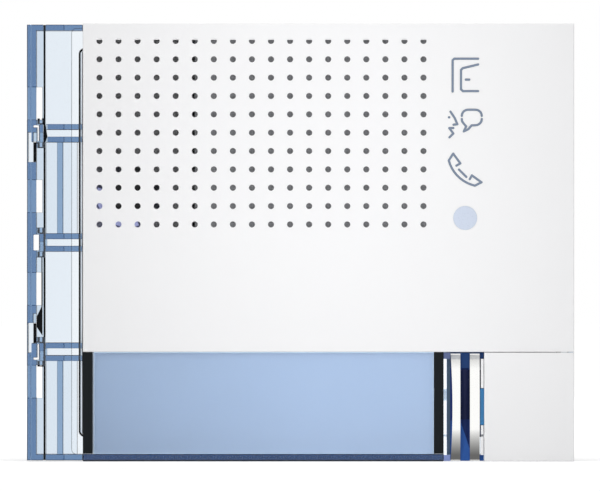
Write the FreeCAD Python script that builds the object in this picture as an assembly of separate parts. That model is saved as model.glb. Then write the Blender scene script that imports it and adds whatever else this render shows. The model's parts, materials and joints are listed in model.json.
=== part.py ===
import FreeCAD, Part
import math
import os

# Door intercom module: a front cover with grille, pictograms, label window and call button, and the
# speaker unit behind it. Millimetres. X runs right, Y runs into the wall and Z runs up. The plane Y = 0
# is where the carrier rests on its mounting frame, and the front faces -Y.

# Outer sizes
WIDTH = 115.0
HEIGHT = 92.0
FRONT_RISE = 10.0
REAR_DEPTH = 22.0
LABEL_ROW = 23.0

LEFT = -WIDTH / 2
RIGHT = WIDTH / 2
TOP = HEIGHT / 2
BOTTOM = -HEIGHT / 2
FRONT = -FRONT_RISE
ROW_TOP = BOTTOM + LABEL_ROW

# Clearances
SNUG = 0.03
SLIDING = 0.1
SLIT = 0.12
RUNNING = 0.03

# Carrier
STRIP_WIDTH = 11.76
STRIP_RISE = 8.0
COVER_RISE = 2.8
FLOOR = 0.9
THICK_FLOOR = 0.4
CARRIER_INSET = 0.2
OUTER_WALL = 1.95
WALL_GROOVE_FROM_LEFT = 0.67
WALL_GROOVE = 0.2
WALL_GROOVE_DEPTH = 3.0
RIM = 1.25
STEP_FROM_LEFT = 7.78
STEP_DROP = 0.8
RECESS_FROM_LEFT = 9.3
RECESS_FROM_RIGHT = 1.15
RECESS_FROM_TOP = 0.75
RECESS_FROM_BOTTOM = 1.24
RECESS_DEPTH = 0.3
RECESS_CORNER = 0.95

PLATE_LEFT = LEFT + STRIP_WIDTH
CARRIER_TOP = TOP - CARRIER_INSET
CARRIER_BOTTOM = BOTTOM + CARRIER_INSET
STRIP_FRONT = -STRIP_RISE
COVER_BASE = -COVER_RISE
FLOOR_FRONT = -FLOOR

# Opening of the carrier, with the seal in it
OPEN_FROM_LEFT = 10.82
OPEN_FROM_RIGHT = 3.34
OPEN_FROM_TOP = 5.05
SEAL = 0.34
SEAL_DEPTH = 1.7
HOUSING_CORNER = 0.9

OPEN_LEFT = LEFT + OPEN_FROM_LEFT
OPEN_RIGHT = RIGHT - OPEN_FROM_RIGHT
OPEN_TOP = TOP - OPEN_FROM_TOP
HOUSING_INSET = SEAL + 2 * SNUG

# Ribs of the bare strip
RIB = 1.15
RIB_GAP = 1.5
RIB_PITCH = 23.0
RIBS_FROM_LEFT = 3.93
BRIDGE_OVER_RIBS = 0.32
RIB_OVER_UNIT = 0.3
STRIPE_FROM_LEFT = 6.3
STRIPE = 1.2
STRIPE_RISE = 5.0

RIB_PAIRS = (RIB_PITCH, 0.0, -RIB_PITCH)
RIBS_LEFT = LEFT + RIBS_FROM_LEFT

# Channel with the latch strip
SPINE_FROM_LEFT = 3.53
SPINE = 0.3
LATCH_FRONT = -5.2
LATCH_REAR = -2.9
LATCH_ROOM = 0.2
LATCH_END = 0.05
LATCH_TRAVEL = 2.0
LUG_REACH = 1.36
LUG_HEIGHT = 1.2
LUG_GAP = 3.8
LUG_SIDE = 0.46
LUG_INNER = 0.34
LUG_BASE = 0.2
CAM_REACH = 0.4
CAM_TOP = 24.8
CAM_PEAK = 22.3
CAM_END = 21.2
CAM_ROOM = 0.1
TAB = 0.62
TAB_FROM_LEFT = 1.3
TAB_LENGTH = 4.1
TAB_ARM = 0.3
GUIDE_FROM_LEFT = 2.65
GUIDE_HEIGHT = 1.6
BRIDGE_HEIGHT = 6.3
WINDOW_HEIGHT = 3.3
WINDOW_FROM_LEFT = 1.38
WINDOW_WIDTH = 1.13
HOOK_SLOT = 0.45
HOOK_STEM = 0.3
CHANNEL_SLOT = 6.9
CHANNEL_PITCH = 19.5
CHANNEL_FROM_SPINE = 0.38
CHANNEL_FLOOR = 0.8
WALL_DROP = 1.6
POCKET_FROM_LEFT = 0.23
POCKET = 0.71
SPRING_LEAF = 0.2
SPRING_FROM_SPINE = 0.34
NOSE_FROM_LEFT = 2.02
NOSE_TOP = -13.1
NOSE_SLOPE = 2.45
NOSE_FLAT = 2.25
NOSE_LENGTH = 6.5

SPINE_X = LEFT + SPINE_FROM_LEFT
WALL_INNER = LEFT + OUTER_WALL
BRIDGE_REAR = LATCH_FRONT - LATCH_ROOM

# Front plate
PLATE_THICK = 2.0
SKIRT = 1.2
EDGE_ROUND = 0.2

PLATE_BACK = FRONT + PLATE_THICK

# Grille
HOLE_RADIUS = 0.64
HOLE_ROWS = 11
BARE_COLUMNS = 5
COLUMN_PITCH = 4.005
ROW_PITCH = 3.855
GRILLE_FROM_PLATE = 3.5
GRILLE_FROM_TOP = 3.65
GRILLE_TO_ICONS = 0.5
MESH_MARGIN = 1.2
GRILLE_THICK = 1.2
TOP_RIB_OVERLAP = 0.25
TOP_RIB_FRONT = 0.3
TOP_RIB_DEPTH = 1.2

GRILLE_X = PLATE_LEFT + GRILLE_FROM_PLATE
GRILLE_Z = TOP - GRILLE_FROM_TOP
GRILLE_BACK = FRONT + GRILLE_THICK
GRILLE_LOW = GRILLE_Z - (HOLE_ROWS - 1) * ROW_PITCH - MESH_MARGIN
MESH_LEFT = GRILLE_X + BARE_COLUMNS * COLUMN_PITCH

# Bottom row, from the right: cap, lugs, two spring legs, tray wall, end bars, window
CAP_WIDTH = 18.9
CAP_WALL = 1.2
CAP_FACE = 1.6
CAP_DEPTH = 5.6
LUG_WIDTH = 0.68
LUG_DROP = 0.9
LUG_GROOVE = 0.13
LUG_GROOVE_DEPTH = 1.2
ROW_END = 1.35
NOTCH = 0.45
NOTCH_DEPTH = 2.5
NOTCH_FROM_BOTTOM = 5.22
LEG_WIDTH = 2.05
LEG_GAP = 2.0
LEG_WAIST = 0.38
LEG_FROM_CAP = 0.94
LEG_THICK = 0.35
LEG_FOOT = 0.2
LEG_FROM_TOP = 0.25
TRAY_FROM_LEG = 0.85
TRAY_WALL = 0.65
TRAY_FLOOR = 1.0
END_BAR = 2.05
END_GAP = 0.25
LIP = 1.6
WINDOW_THICK = 2.0
WINDOW_SINK = 0.3
TONGUE_FROM_TOP = 9.0
TONGUE_HEIGHT = 2.2
TONGUE_THICK = 0.9
CARD_THICK = 0.3
DIFFUSER_THICK = 2.0
LABEL_LEDS = 4
LABEL_LED_SIDE = 2.8
LABEL_LED_HEIGHT = 1.0
LABEL_LED_RAISE = 2.0
LABEL_LED_HOLE_RADIUS = 2.2

CAP_LEFT = RIGHT - CAP_WIDTH
CAP_BACK = FRONT + CAP_DEPTH
LEG_RIGHT_X = CAP_LEFT - LEG_FROM_CAP - LEG_WIDTH
LEG_LEFT_X = LEG_RIGHT_X - LEG_GAP - LEG_WIDTH
TRAY_RIGHT = LEG_LEFT_X - TRAY_FROM_LEG
LABEL_RIGHT = TRAY_RIGHT - TRAY_WALL
CARD_LEFT = PLATE_LEFT + END_BAR + SNUG
WINDOW_LEFT = PLATE_LEFT + END_BAR + END_GAP
WINDOW_RIGHT = LABEL_RIGHT - END_BAR
WINDOW_FRONT = FRONT + WINDOW_SINK
WINDOW_BACK = WINDOW_FRONT + WINDOW_THICK
CARD_FRONT = WINDOW_BACK + SNUG
DIFFUSER_FRONT = CARD_FRONT + CARD_THICK + SNUG
TRAY_FLOOR_FRONT = DIFFUSER_FRONT + DIFFUSER_THICK + SNUG
ROW_PIECE_TOP = ROW_TOP - SLIT
ROW_PIECE_BOTTOM = BOTTOM + SLIT
LABEL_TOP = ROW_TOP - SNUG
NOTCH_LOW = BOTTOM + NOTCH_FROM_BOTTOM

# Call button hinge, lever and switch
PIVOT_Y = -5.2
PIN_RADIUS = 0.75
PIN_END = 0.6
HUB_RADIUS = 1.6
HUB_TOP_DROP = 3.8
HUB_LENGTH = 10.4
ARM_THICK = 1.2
ARM_FRONT = -6.0
ARM_END = 2.0
RIB_IN_CAP = 1.2
FOOT_FROM_PIVOT = 10.0
FOOT_RADIUS = 1.0
FOOT_GAP = 0.12
LIGHT_WIDTH = 0.85
LIGHT_DROP = 1.0
LIGHT_LENGTH = 7.6
TAIL_GAP = 0.2
TAIL_THICK = 0.9
TAIL_HEIGHT = 1.6
SWITCH_SIDE = 6.0
SWITCH_HEIGHT = 4.0
PLUNGER_RADIUS = 1.7
PLUNGER_TIP = -1.5
PLUNGER_HOLE_GAP = 1.3
PLUNGER_ROOM = 0.8
SWITCH_FLOOR = 1.0
HOLDER_BASE = 0.5
HOLDER_CHEEK_FRONT = -6.5
HOLDER_TOP_BLOCK = 3.3
HOLDER_BOTTOM_BLOCK = 2.5
HOLDER_SLOPE = 5.9
HOLDER_FRONT = -7.1
HOLDER_CORNER_FRONT = -9.6
HOLDER_RAIL = 1.05
BASE_UNDER = 0.3
BOW_FRONT = -9.5

PIVOT_X = (LEG_LEFT_X + LEG_RIGHT_X + LEG_WIDTH) / 2
HUB_TOP = ROW_TOP - HUB_TOP_DROP
HUB_BOTTOM = HUB_TOP - HUB_LENGTH
FOOT_X = PIVOT_X + FOOT_FROM_PIVOT
FOOT_Z = (HUB_TOP + HUB_BOTTOM) / 2
LEG_TOP = ROW_PIECE_TOP - LEG_FROM_TOP
LEG_MIDDLE_Z = (ROW_PIECE_BOTTOM + LEG_TOP) / 2
HOLDER_REAR = COVER_BASE - HOLDER_BASE - SNUG

# Pictograms and sensor
ICON_STROKE = 0.46
ICON_DEPTH = 0.8
ICON_X = PIVOT_X
DOOR_FROM_TOP = 10.7
TALK_FROM_TOP = 21.0
CALL_FROM_TOP = 30.8
SENSOR_FROM_TOP = 40.85
SENSOR_RADIUS = 2.5
SENSOR_FLANGE = 0.7
ICON_SHEET = 0.8
ICON_SHEET_HALF = 4.6
LIGHT_PIPE_RADIUS = 2.0
STATUS_LED_WIDTH = 3.2
STATUS_LED_LENGTH = 2.8
STATUS_LED_HEIGHT = 0.8

GRILLE_RIGHT = ICON_X - ICON_SHEET_HALF - GRILLE_TO_ICONS - MESH_MARGIN
HOLE_COLUMNS = int((GRILLE_RIGHT - GRILLE_X) / COLUMN_PITCH) + 1
DOOR_Z = TOP - DOOR_FROM_TOP
TALK_Z = TOP - TALK_FROM_TOP
CALL_Z = TOP - CALL_FROM_TOP
SENSOR_Z = TOP - SENSOR_FROM_TOP

# Rear unit
HOUSING_WALL = 1.6
REAR_ROUND = 0.8
VENT_COUNT = 9
VENT_WIDTH = 1.4
VENT_PITCH = 3.2
VENT_DEPTH = 9.0
VENT_FRONT_Y = 9.5
CHASSIS_THICK = 1.5
SHELF_THICK = 1.0
SHELF_ROOT = 1.0
SHELF_GAP = 0.3
STAGE_FRONT = -6.8
STAGE_GAP = 0.4
CHASSIS_GROOVE = 0.2
CHASSIS_GROOVE_DEPTH = 1.1
BOARD_FRONT = 6.0
BOARD_THICK = 1.6
BOARD_GAP = 1.2
BOARD_POST_GAP = 0.7
CATCH = 0.7
CATCH_LENGTH = 8.0
CATCH_DEPTH = 1.2
CATCH_ROOT = 1.0
CATCHES_ALONG_X = 26.0
CATCHES_ALONG_Z = 20.0

CHASSIS_REAR = COVER_BASE + CHASSIS_THICK
REAR_INNER = REAR_DEPTH - HOUSING_WALL
BOARD_BACK = BOARD_FRONT + BOARD_THICK
UNIT_LEFT = OPEN_LEFT + HOUSING_INSET
UNIT_RIGHT = OPEN_RIGHT - HOUSING_INSET
UNIT_TOP = OPEN_TOP - HOUSING_INSET

# Long screws that hold housing, chassis and plate together
SCREW_RADIUS = 0.95
SCREW_HEAD_RADIUS = 1.9
SCREW_HEAD = 1.3
SCREW_HEAD_Y = 10.0
SCREW_TIP = -5.6
SCREW_POST_RADIUS = 3.4
SCREW_WELL_RADIUS = 2.3
PLATE_BOSS_RADIUS = 1.9
BLIND_BOSS_END = 1.0
DRIVE_SHARE = 0.6
DRIVE_SPAN = 1.2
DRIVE_WIDTH = 0.4
SCREW_FROM_LEFT = 17.5
SCREW_FROM_RIGHT = 8.5
SCREW_FROM_TOP = 10.0
SCREW_FROM_ROW = 6.0

# Board screws
BOARD_SCREW_RADIUS = 0.9
BOARD_SCREW_LENGTH = 4.6
BOARD_SCREW_END_GAP = 0.4
BOARD_SCREW_HEAD_RADIUS = 1.8
BOARD_SCREW_HEAD = 1.2
BOARD_POST_RADIUS = 2.6
BOARD_SCREW_FROM_HEADER = 6.76
BOARD_SCREW_FROM_TOP = 13.0

# Loudspeaker
SPEAKER_FROM_RIGHT = 53.5
SPEAKER_FROM_TOP = 23.7
SPEAKER_RADIUS = 17.0
SPEAKER_COLLAR = 0.5
SPEAKER_COLLAR_RISE = 1.6
FLANGE_THICK = 0.8
FLANGE_WIDTH = 2.2
FLANGE_LAND = 0.3
BASKET_WALL = 0.7
BASKET_RIM = 0.4
BASKET_HOLE_GAP = 1.0
ROLL_WIDTH = 2.47
COIL_RADIUS = 4.6
COIL_WALL = 0.4
COIL_GAP = 0.5
COIL_DEPTH = 1.0
MAGNET_RADIUS = 8.5
MAGNET_FRONT = 1.4
MAGNET_REAR = 4.8
MAGNET_WELL = 1.8
POLE_RISE = 1.4
CONE_WALL = 0.4
CONE_RIM_DROP = 0.2
CONE_NECK_Y = -1.6
DUST_CAP_RADIUS = 2.6
DUST_CAP_RISE = 1.2
DUST_CAP_SHOULDER = 0.9
ROLL_RISE = 0.8
ROLL_WALL = 0.3
MESH_THICK = 0.35
GASKET_STEP = 0.4
SPEAKER_CONTACT_RADIUS = 0.4
SPEAKER_CONTACT_HALF = 2.0
SPEAKER_CONTACT_FRONT = -2.2

SPEAKER_X = RIGHT - SPEAKER_FROM_RIGHT
SPEAKER_Z = TOP - SPEAKER_FROM_TOP
FLANGE_REAR = COVER_BASE - SPEAKER_COLLAR_RISE
FLANGE_FRONT = FLANGE_REAR - FLANGE_THICK
FLANGE_INNER = SPEAKER_RADIUS - FLANGE_WIDTH
BASKET_LOW = MAGNET_RADIUS + BASKET_RIM
CONE_EDGE = FLANGE_INNER + FLANGE_LAND - ROLL_WIDTH - SNUG
MESH_BACK = GRILLE_BACK + MESH_THICK

# Microphone
MIC_FROM_LEFT = 21.3
MIC_FROM_TOP = 36.2
MIC_RADIUS = 3.0
MIC_THICK = 2.7
BOOT_RADIUS = 4.5
BOOT_SOUND_RADIUS = 1.0
COLLAR_RADIUS = 5.7
COLLAR_WALL = 0.9
COLLAR_START = 165.0
COLLAR_SWEEP = 125.0
MIC_CONTACT_HALF = 1.0

MIC_X = LEFT + MIC_FROM_LEFT
MIC_Z = TOP - MIC_FROM_TOP

# Connections at the rear
SOCKET_LENGTH = 18.0
SOCKET_WIDTH = 7.0
SOCKET_WALL = 1.0
SOCKET_FLOOR_Y = 12.0
BUS_FROM_SIDE = 21.5
BUS_Z = 8.0
BUS_PINS = 8
BUS_PIN_PITCH = 1.9
BUS_PIN_REACH = 5.0
CONTACT_RADIUS = 0.3
PLUG_WAYS = 6
PLUG_PITCH = 5.08
PLUG_HEIGHT = 9.0
PLUG_FRONT_Y = 9.6
PLUG_STAND_OUT = 1.0
PLUG_FROM_BOTTOM = 19.0
HEADER_WALL = 1.0
HEADER_REAR = 16.0
HEADER_FLOOR_GAP = 0.3
HEADER_PIN_RADIUS = 0.5
HEADER_PIN_SHORT = 1.5
WIRE_HOLE = 2.6
WIRE_DEPTH = 5.0
WIRE_DROP = 1.5
PLUG_SCREW_RADIUS = 1.4
PLUG_SCREW_RAISE = 2.3
PLUG_SCREW_DEPTH = 4.0
PLUG_SCREW_SINK = 1.0
PLUG_SCREW_SLOT = 0.5
PLUG_SCREW_SLOT_DEPTH = 0.6
TRIMMER_SIDE = 6.5
TRIMMER_HEIGHT = 4.5
TRIMMER_BORE = 2.5
KNOB_RADIUS = 2.1
KNOB_HOLE_GAP = 0.4
KNOB_SINK = 0.6
KNOB_SLOT = 0.8
KNOB_SLOT_DEPTH = 1.0
SPIGOT_RADIUS = 1.2
SPIGOT_LENGTH = 2.2
SPEAKER_TRIMMER_X = 10.0
MIC_TRIMMER_X = 22.0
TRIMMER_Z = -8.0

BUS_X = RIGHT - BUS_FROM_SIDE
PLUG_Z = BOTTOM + PLUG_FROM_BOTTOM
PLUG_WIDTH = PLUG_WAYS * PLUG_PITCH

# Large parts on the rear of the board
CHIP_SIDE = 10.0
CHIP_THICK = 1.5
CHIP_X = -4.0
CHIP_Z = 2.0
CAPACITOR_RADIUS = 4.0
CAPACITOR_END_GAP = 1.8
CAPACITOR_Z = -9.0
CAPACITOR_FROM_SOCKET = 1.5
CAPACITOR_PITCH = 10.0
TRANSFORMER_FROM_TOP = 25.0
CORE_WIDTH = 14.0
CORE_HEIGHT = 12.0
CORE_DEPTH = 9.5
BOBBIN_WIDTH = 9.0
BOBBIN_HEIGHT = 17.0
BOBBIN_INSET = 1.0
TRANSFORMER_Z = TOP - TRANSFORMER_FROM_TOP

VECTOR = FreeCAD.Vector
ALONG_Y = VECTOR(0, 1, 0)
ALONG_Z = VECTOR(0, 0, 1)


# Helpers

def box(x0, x1, y0, y1, z0, z1):
    """A block between two corners."""
    return Part.makeBox(x1 - x0, y1 - y0, z1 - z0, VECTOR(x0, y0, z0))


def rod(x, z, radius, y0, y1):
    """A round bar along Y."""
    return Part.makeCylinder(radius, y1 - y0, VECTOR(x, y0, z), ALONG_Y)


def post(x, y, radius, z0, z1):
    """A round bar along Z."""
    return Part.makeCylinder(radius, z1 - z0, VECTOR(x, y, z0), ALONG_Z)


def tube(x, z, outer, inner, y0, y1):
    """A ring along Y."""
    return rod(x, z, outer, y0, y1).cut(rod(x, z, inner, y0, y1))


def join(solids):
    """One solid out of several that touch or overlap."""
    return solids[0].multiFuse(solids[1:]).removeSplitter()


def take(solid, tools):
    """The solid without the tools."""
    return solid.cut(Part.makeCompound(tools))


def front_outline(points, y0, y1):
    """A slab along Y whose outline is given by (x, z) points."""
    corners = [VECTOR(x, y0, z) for x, z in points]
    face = Part.Face(Part.makePolygon(corners + corners[:1]))
    return face.extrude(VECTOR(0, y1 - y0, 0))


def turned(x, z, profile):
    """A solid of revolution about the line along Y at (x, z); the profile holds (radius, y) points."""
    corners = [VECTOR(x + radius, y, z) for radius, y in profile]
    face = Part.Face(Part.makePolygon(corners + corners[:1]))
    return face.revolve(VECTOR(x, 0, z), ALONG_Y, 360)


def edges_along(solid, axis):
    """The straight edges of a solid that run along an axis."""
    found = []
    for edge in solid.Edges:
        if isinstance(edge.Curve, Part.Line) and abs(edge.Curve.Direction.dot(axis)) > 0.99:
            found.append(edge)
    return found


def rounded_slab(x0, x1, z0, z1, corner, y0, y1):
    """A block whose four edges along Y are round."""
    solid = box(x0, x1, y0, y1, z0, z1)
    return solid.makeFillet(corner, edges_along(solid, ALONG_Y))


def rounded_front(solid, y, radius):
    """Rounds the edges that lie in the plane of the front face."""
    found = []
    for edge in solid.Edges:
        if edge.BoundBox.YMax < y + SNUG:
            found.append(edge)
    return solid.makeFillet(radius, found)


def rounded_rear(solid, y, radius):
    """Rounds the edges that lie in the plane of the rear face."""
    found = []
    for edge in solid.Edges:
        if edge.BoundBox.YMin > y - SNUG:
            found.append(edge)
    return solid.makeFillet(radius, found)


def stroke(points, y0, y1, width):
    """A line of even width with round ends along (x, z) points."""
    pieces = []
    for (xa, za), (xb, zb) in zip(points, points[1:]):
        length = math.hypot(xb - xa, zb - za)
        bar = Part.makeBox(length, y1 - y0, width, VECTOR(0, y0, -width / 2))
        bar.rotate(VECTOR(0, 0, 0), ALONG_Y, -math.degrees(math.atan2(zb - za, xb - xa)))
        bar.translate(VECTOR(xa, 0, za))
        pieces.append(bar)
    for x, z in points:
        pieces.append(rod(x, z, width / 2, y0, y1))
    return join(pieces)


def arc_points(x, z, radius, start, end, steps):
    """Points on an arc, angles in degrees from +X towards +Z."""
    points = []
    for step in range(steps + 1):
        angle = math.radians(start + (end - start) * step / steps)
        points.append((x + radius * math.cos(angle), z + radius * math.sin(angle)))
    return points


def plate_screw_places():
    """Places of the long screws, left to right and top to bottom."""
    left = LEFT + SCREW_FROM_LEFT
    right = RIGHT - SCREW_FROM_RIGHT
    upper = TOP - SCREW_FROM_TOP
    lower = ROW_TOP + SCREW_FROM_ROW
    return [(left, upper), (right, upper), (left, lower), (right, lower)]


def board_screw_places():
    """Places of the board screws, one near each corner of the board."""
    right = PLUG_WIDTH / 2 + HEADER_WALL + BOARD_SCREW_FROM_HEADER
    upper = TOP - BOARD_SCREW_FROM_TOP
    return [(x, z) for x in (-right, right) for z in (-upper, upper)]


def light_places():
    """Heights of the lights behind the pictograms and of the light sensor."""
    return [DOOR_Z, TALK_Z, CALL_Z, SENSOR_Z]


# Carrier

def strip_walls():
    """Walls round the bare strip, with the lower stretch next to the plate."""
    step_x = LEFT + STEP_FROM_LEFT
    low_front = STRIP_FRONT + STEP_DROP
    solids = [box(LEFT, WALL_INNER, STRIP_FRONT, 0, CARRIER_BOTTOM, CARRIER_TOP)]
    for z0, z1 in ((CARRIER_TOP - RIM, CARRIER_TOP), (CARRIER_BOTTOM, CARRIER_BOTTOM + RIM)):
        solids.append(box(LEFT, step_x, STRIP_FRONT, 0, z0, z1))
        solids.append(box(step_x, PLATE_LEFT - SLIDING, low_front, 0, z0, z1))
    return solids


def rib_pairs():
    """Pairs of upright ribs across the strip, two for each latch guide."""
    step_x = LEFT + STEP_FROM_LEFT
    end_x = PLATE_LEFT - SLIDING
    low_front = STRIP_FRONT + STEP_DROP
    solids = []
    for middle in RIB_PAIRS:
        for z0 in (middle + RIB_GAP / 2, middle - RIB_GAP / 2 - RIB):
            solids.append(box(RIBS_LEFT, step_x, STRIP_FRONT, FLOOR_FRONT, z0, z0 + RIB))
            solids.append(box(step_x, OPEN_LEFT, low_front, FLOOR_FRONT, z0, z0 + RIB))
            solids.append(box(OPEN_LEFT, end_x, low_front, COVER_BASE - RIB_OVER_UNIT, z0, z0 + RIB))
    return solids


def thick_compartments():
    """Thicker floor and one lengthwise rib in every second compartment."""
    reach = RIB_GAP / 2 + RIB / 2
    spans = ((reach, RIB_PITCH - reach), (CARRIER_BOTTOM + RIM / 2, -RIB_PITCH - reach))
    x0 = LEFT + STRIPE_FROM_LEFT
    solids = []
    for z0, z1 in spans:
        solids.append(box(RIBS_LEFT, OPEN_LEFT - SEAL, FLOOR_FRONT - THICK_FLOOR, FLOOR_FRONT, z0, z1))
        solids.append(box(x0, x0 + STRIPE, -STRIPE_RISE, FLOOR_FRONT, z0, z1))
    return solids


def latch_bridges():
    """Bridges over the latch strip, each with its guide block under it."""
    guide_left = LEFT + GUIDE_FROM_LEFT
    guide_right = SPINE_X - SLIDING
    bridge_right = RIBS_LEFT + BRIDGE_OVER_RIBS
    reach = RIB_GAP / 2 + RIB
    half = LUG_GAP / 2
    solids = []
    for middle in RIB_PAIRS:
        z0 = middle - BRIDGE_HEIGHT / 2
        z1 = middle + BRIDGE_HEIGHT / 2
        solids.append(box(LEFT, SPINE_X + SPINE, STRIP_FRONT, BRIDGE_REAR, z0, z1))
        solids.append(box(SPINE_X, bridge_right, STRIP_FRONT, BRIDGE_REAR, middle - reach, middle + reach))
        guide_top = middle + half - SLIDING
        solids.append(
            box(guide_left, guide_right, STRIP_FRONT, FLOOR_FRONT, guide_top - GUIDE_HEIGHT, guide_top)
        )
        solids.append(
            box(guide_left, guide_right, LATCH_REAR + LATCH_ROOM, FLOOR_FRONT, middle - half, middle + half)
        )
    return solids


def latch_windows():
    """Windows beside the guides: a plain one in the middle, hook-shaped ones above and below."""
    x0 = LEFT + WINDOW_FROM_LEFT
    half = WINDOW_HEIGHT / 2
    tools = [box(x0, x0 + WINDOW_WIDTH, STRIP_FRONT, 0, -half, half)]
    for side in (1, -1):
        middle = side * RIB_PITCH
        edge = middle + side * half
        inner = x0 + WINDOW_WIDTH
        z0, z1 = sorted((edge, edge - side * HOOK_SLOT))
        tools.append(box(x0, inner, STRIP_FRONT, 0, z0, z1))
        tools.append(box(inner - HOOK_STEM, inner, STRIP_FRONT, 0, middle - half, middle + half))
    return tools


def tab_pockets():
    """Pockets in the outer wall where the two locking tabs run, with slots behind the tabs."""
    pocket_left = LEFT + POCKET_FROM_LEFT
    pocket_right = pocket_left + POCKET
    tab_left = LEFT + TAB_FROM_LEFT
    tools = []
    for z0, z1 in tab_spans():
        low = z0 - SLIDING
        high = z1 + LATCH_TRAVEL + SLIDING
        side = 1 if z0 > 0 else -1
        inner = min(abs(z0), abs(z1)) - SLIDING
        near, far = sorted((side * inner, side * (inner + high - low)))
        tools.append(box(pocket_left, pocket_right, STRIP_FRONT, FLOOR_FRONT, near, far))
        tools.append(box(pocket_left, WALL_INNER, STRIP_FRONT, FLOOR_FRONT, low, z1 + SLIDING))
        tools.append(box(tab_left - SLIDING, WALL_INNER, BRIDGE_REAR, FLOOR_FRONT, low, high))
        tools.append(box(tab_left, tab_left + TAB, FLOOR_FRONT - 1, 0, z0, z1 + LATCH_TRAVEL))
    return tools


def tab_spans():
    """Heights between which the two locking tabs lie: below the upper guide and above the lower one."""
    upper_end = RIB_PITCH - LUG_GAP / 2
    lower_end = -RIB_PITCH + LUG_GAP / 2
    return [(upper_end - TAB_LENGTH, upper_end), (lower_end, lower_end + TAB_LENGTH)]


def channel_slots():
    """Slots through the channel floor, and the lowered stretches of the outer wall beside them."""
    tools = []
    for row in (1.5, 0.5, -0.5, -1.5):
        z0 = row * CHANNEL_PITCH - CHANNEL_SLOT / 2
        z1 = z0 + CHANNEL_SLOT
        tools.append(box(WALL_INNER, SPINE_X - CHANNEL_FROM_SPINE, STRIP_FRONT, 0, z0, z1))
        tools.append(box(LEFT, WALL_INNER, STRIP_FRONT, STRIP_FRONT + WALL_DROP, z0, z1))
    return tools


def strip_slots():
    """Slots in both end walls for the latch strip, room for its cam and a groove along the outer wall."""
    x0 = SPINE_X - SLIDING
    x1 = SPINE_X + SPINE + SLIDING
    rear = LATCH_REAR + SLIDING
    tools = [box(x0, x1, STRIP_FRONT, rear, z0, z0 + RIM) for z0 in (CARRIER_BOTTOM, CARRIER_TOP - RIM)]
    x0 = LEFT + WALL_GROOVE_FROM_LEFT
    rear = STRIP_FRONT + WALL_GROOVE_DEPTH
    tools.append(box(x0, x0 + WALL_GROOVE, STRIP_FRONT, rear, CARRIER_BOTTOM, CARRIER_TOP))
    x1 = SPINE_X + SPINE + CAM_REACH + CAM_ROOM
    low = CAM_END - CAM_ROOM
    high = CAM_TOP + LATCH_TRAVEL + CAM_ROOM
    tools.append(box(SPINE_X - SLIDING, x1, STRIP_FRONT, LATCH_REAR + LATCH_ROOM, low, high))
    return tools


def carrier_frame():
    """Transparent carrier: floor, low rim under the cover, bare strip with ribs, channel and opening."""
    floor = box(LEFT, RIGHT, FLOOR_FRONT, 0, CARRIER_BOTTOM, CARRIER_TOP)
    channel_front = FLOOR_FRONT - CHANNEL_FLOOR
    channel = box(LEFT, SPINE_X - SLIDING, channel_front, FLOOR_FRONT, CARRIER_BOTTOM, CARRIER_TOP)
    rim = box(PLATE_LEFT, RIGHT, COVER_BASE, 0, CARRIER_BOTTOM, CARRIER_TOP)
    inside = box(PLATE_LEFT, RIGHT - RIM, COVER_BASE, 0, CARRIER_BOTTOM + RIM, CARRIER_TOP - RIM)
    rim = rim.cut(inside)
    solids = [floor, channel, rim] + strip_walls() + thick_compartments() + rib_pairs() + latch_bridges()
    body = join(solids)
    opening = rounded_slab(OPEN_LEFT, OPEN_RIGHT, -OPEN_TOP, OPEN_TOP, HOUSING_CORNER + SEAL, COVER_BASE, 1)
    recess = rounded_slab(
        LEFT + RECESS_FROM_LEFT, RIGHT - RECESS_FROM_RIGHT, CARRIER_BOTTOM + RECESS_FROM_BOTTOM,
        CARRIER_TOP - RECESS_FROM_TOP, RECESS_CORNER, -RECESS_DEPTH, 1,
    )
    tools = [opening, recess] + latch_windows() + tab_pockets() + channel_slots() + strip_slots()
    return take(body, tools)


def opening_seal():
    """Thin rubber ring between the carrier's opening and the rear unit."""
    outer = rounded_slab(
        OPEN_LEFT + SNUG, OPEN_RIGHT - SNUG, -OPEN_TOP + SNUG, OPEN_TOP - SNUG,
        HOUSING_CORNER + SEAL, -SEAL_DEPTH, -RECESS_DEPTH,
    )
    inner = rounded_slab(
        UNIT_LEFT - SNUG, UNIT_RIGHT + SNUG, -UNIT_TOP - SNUG, UNIT_TOP + SNUG,
        HOUSING_CORNER, -SEAL_DEPTH, -RECESS_DEPTH,
    )
    return outer.cut(inner)


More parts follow.
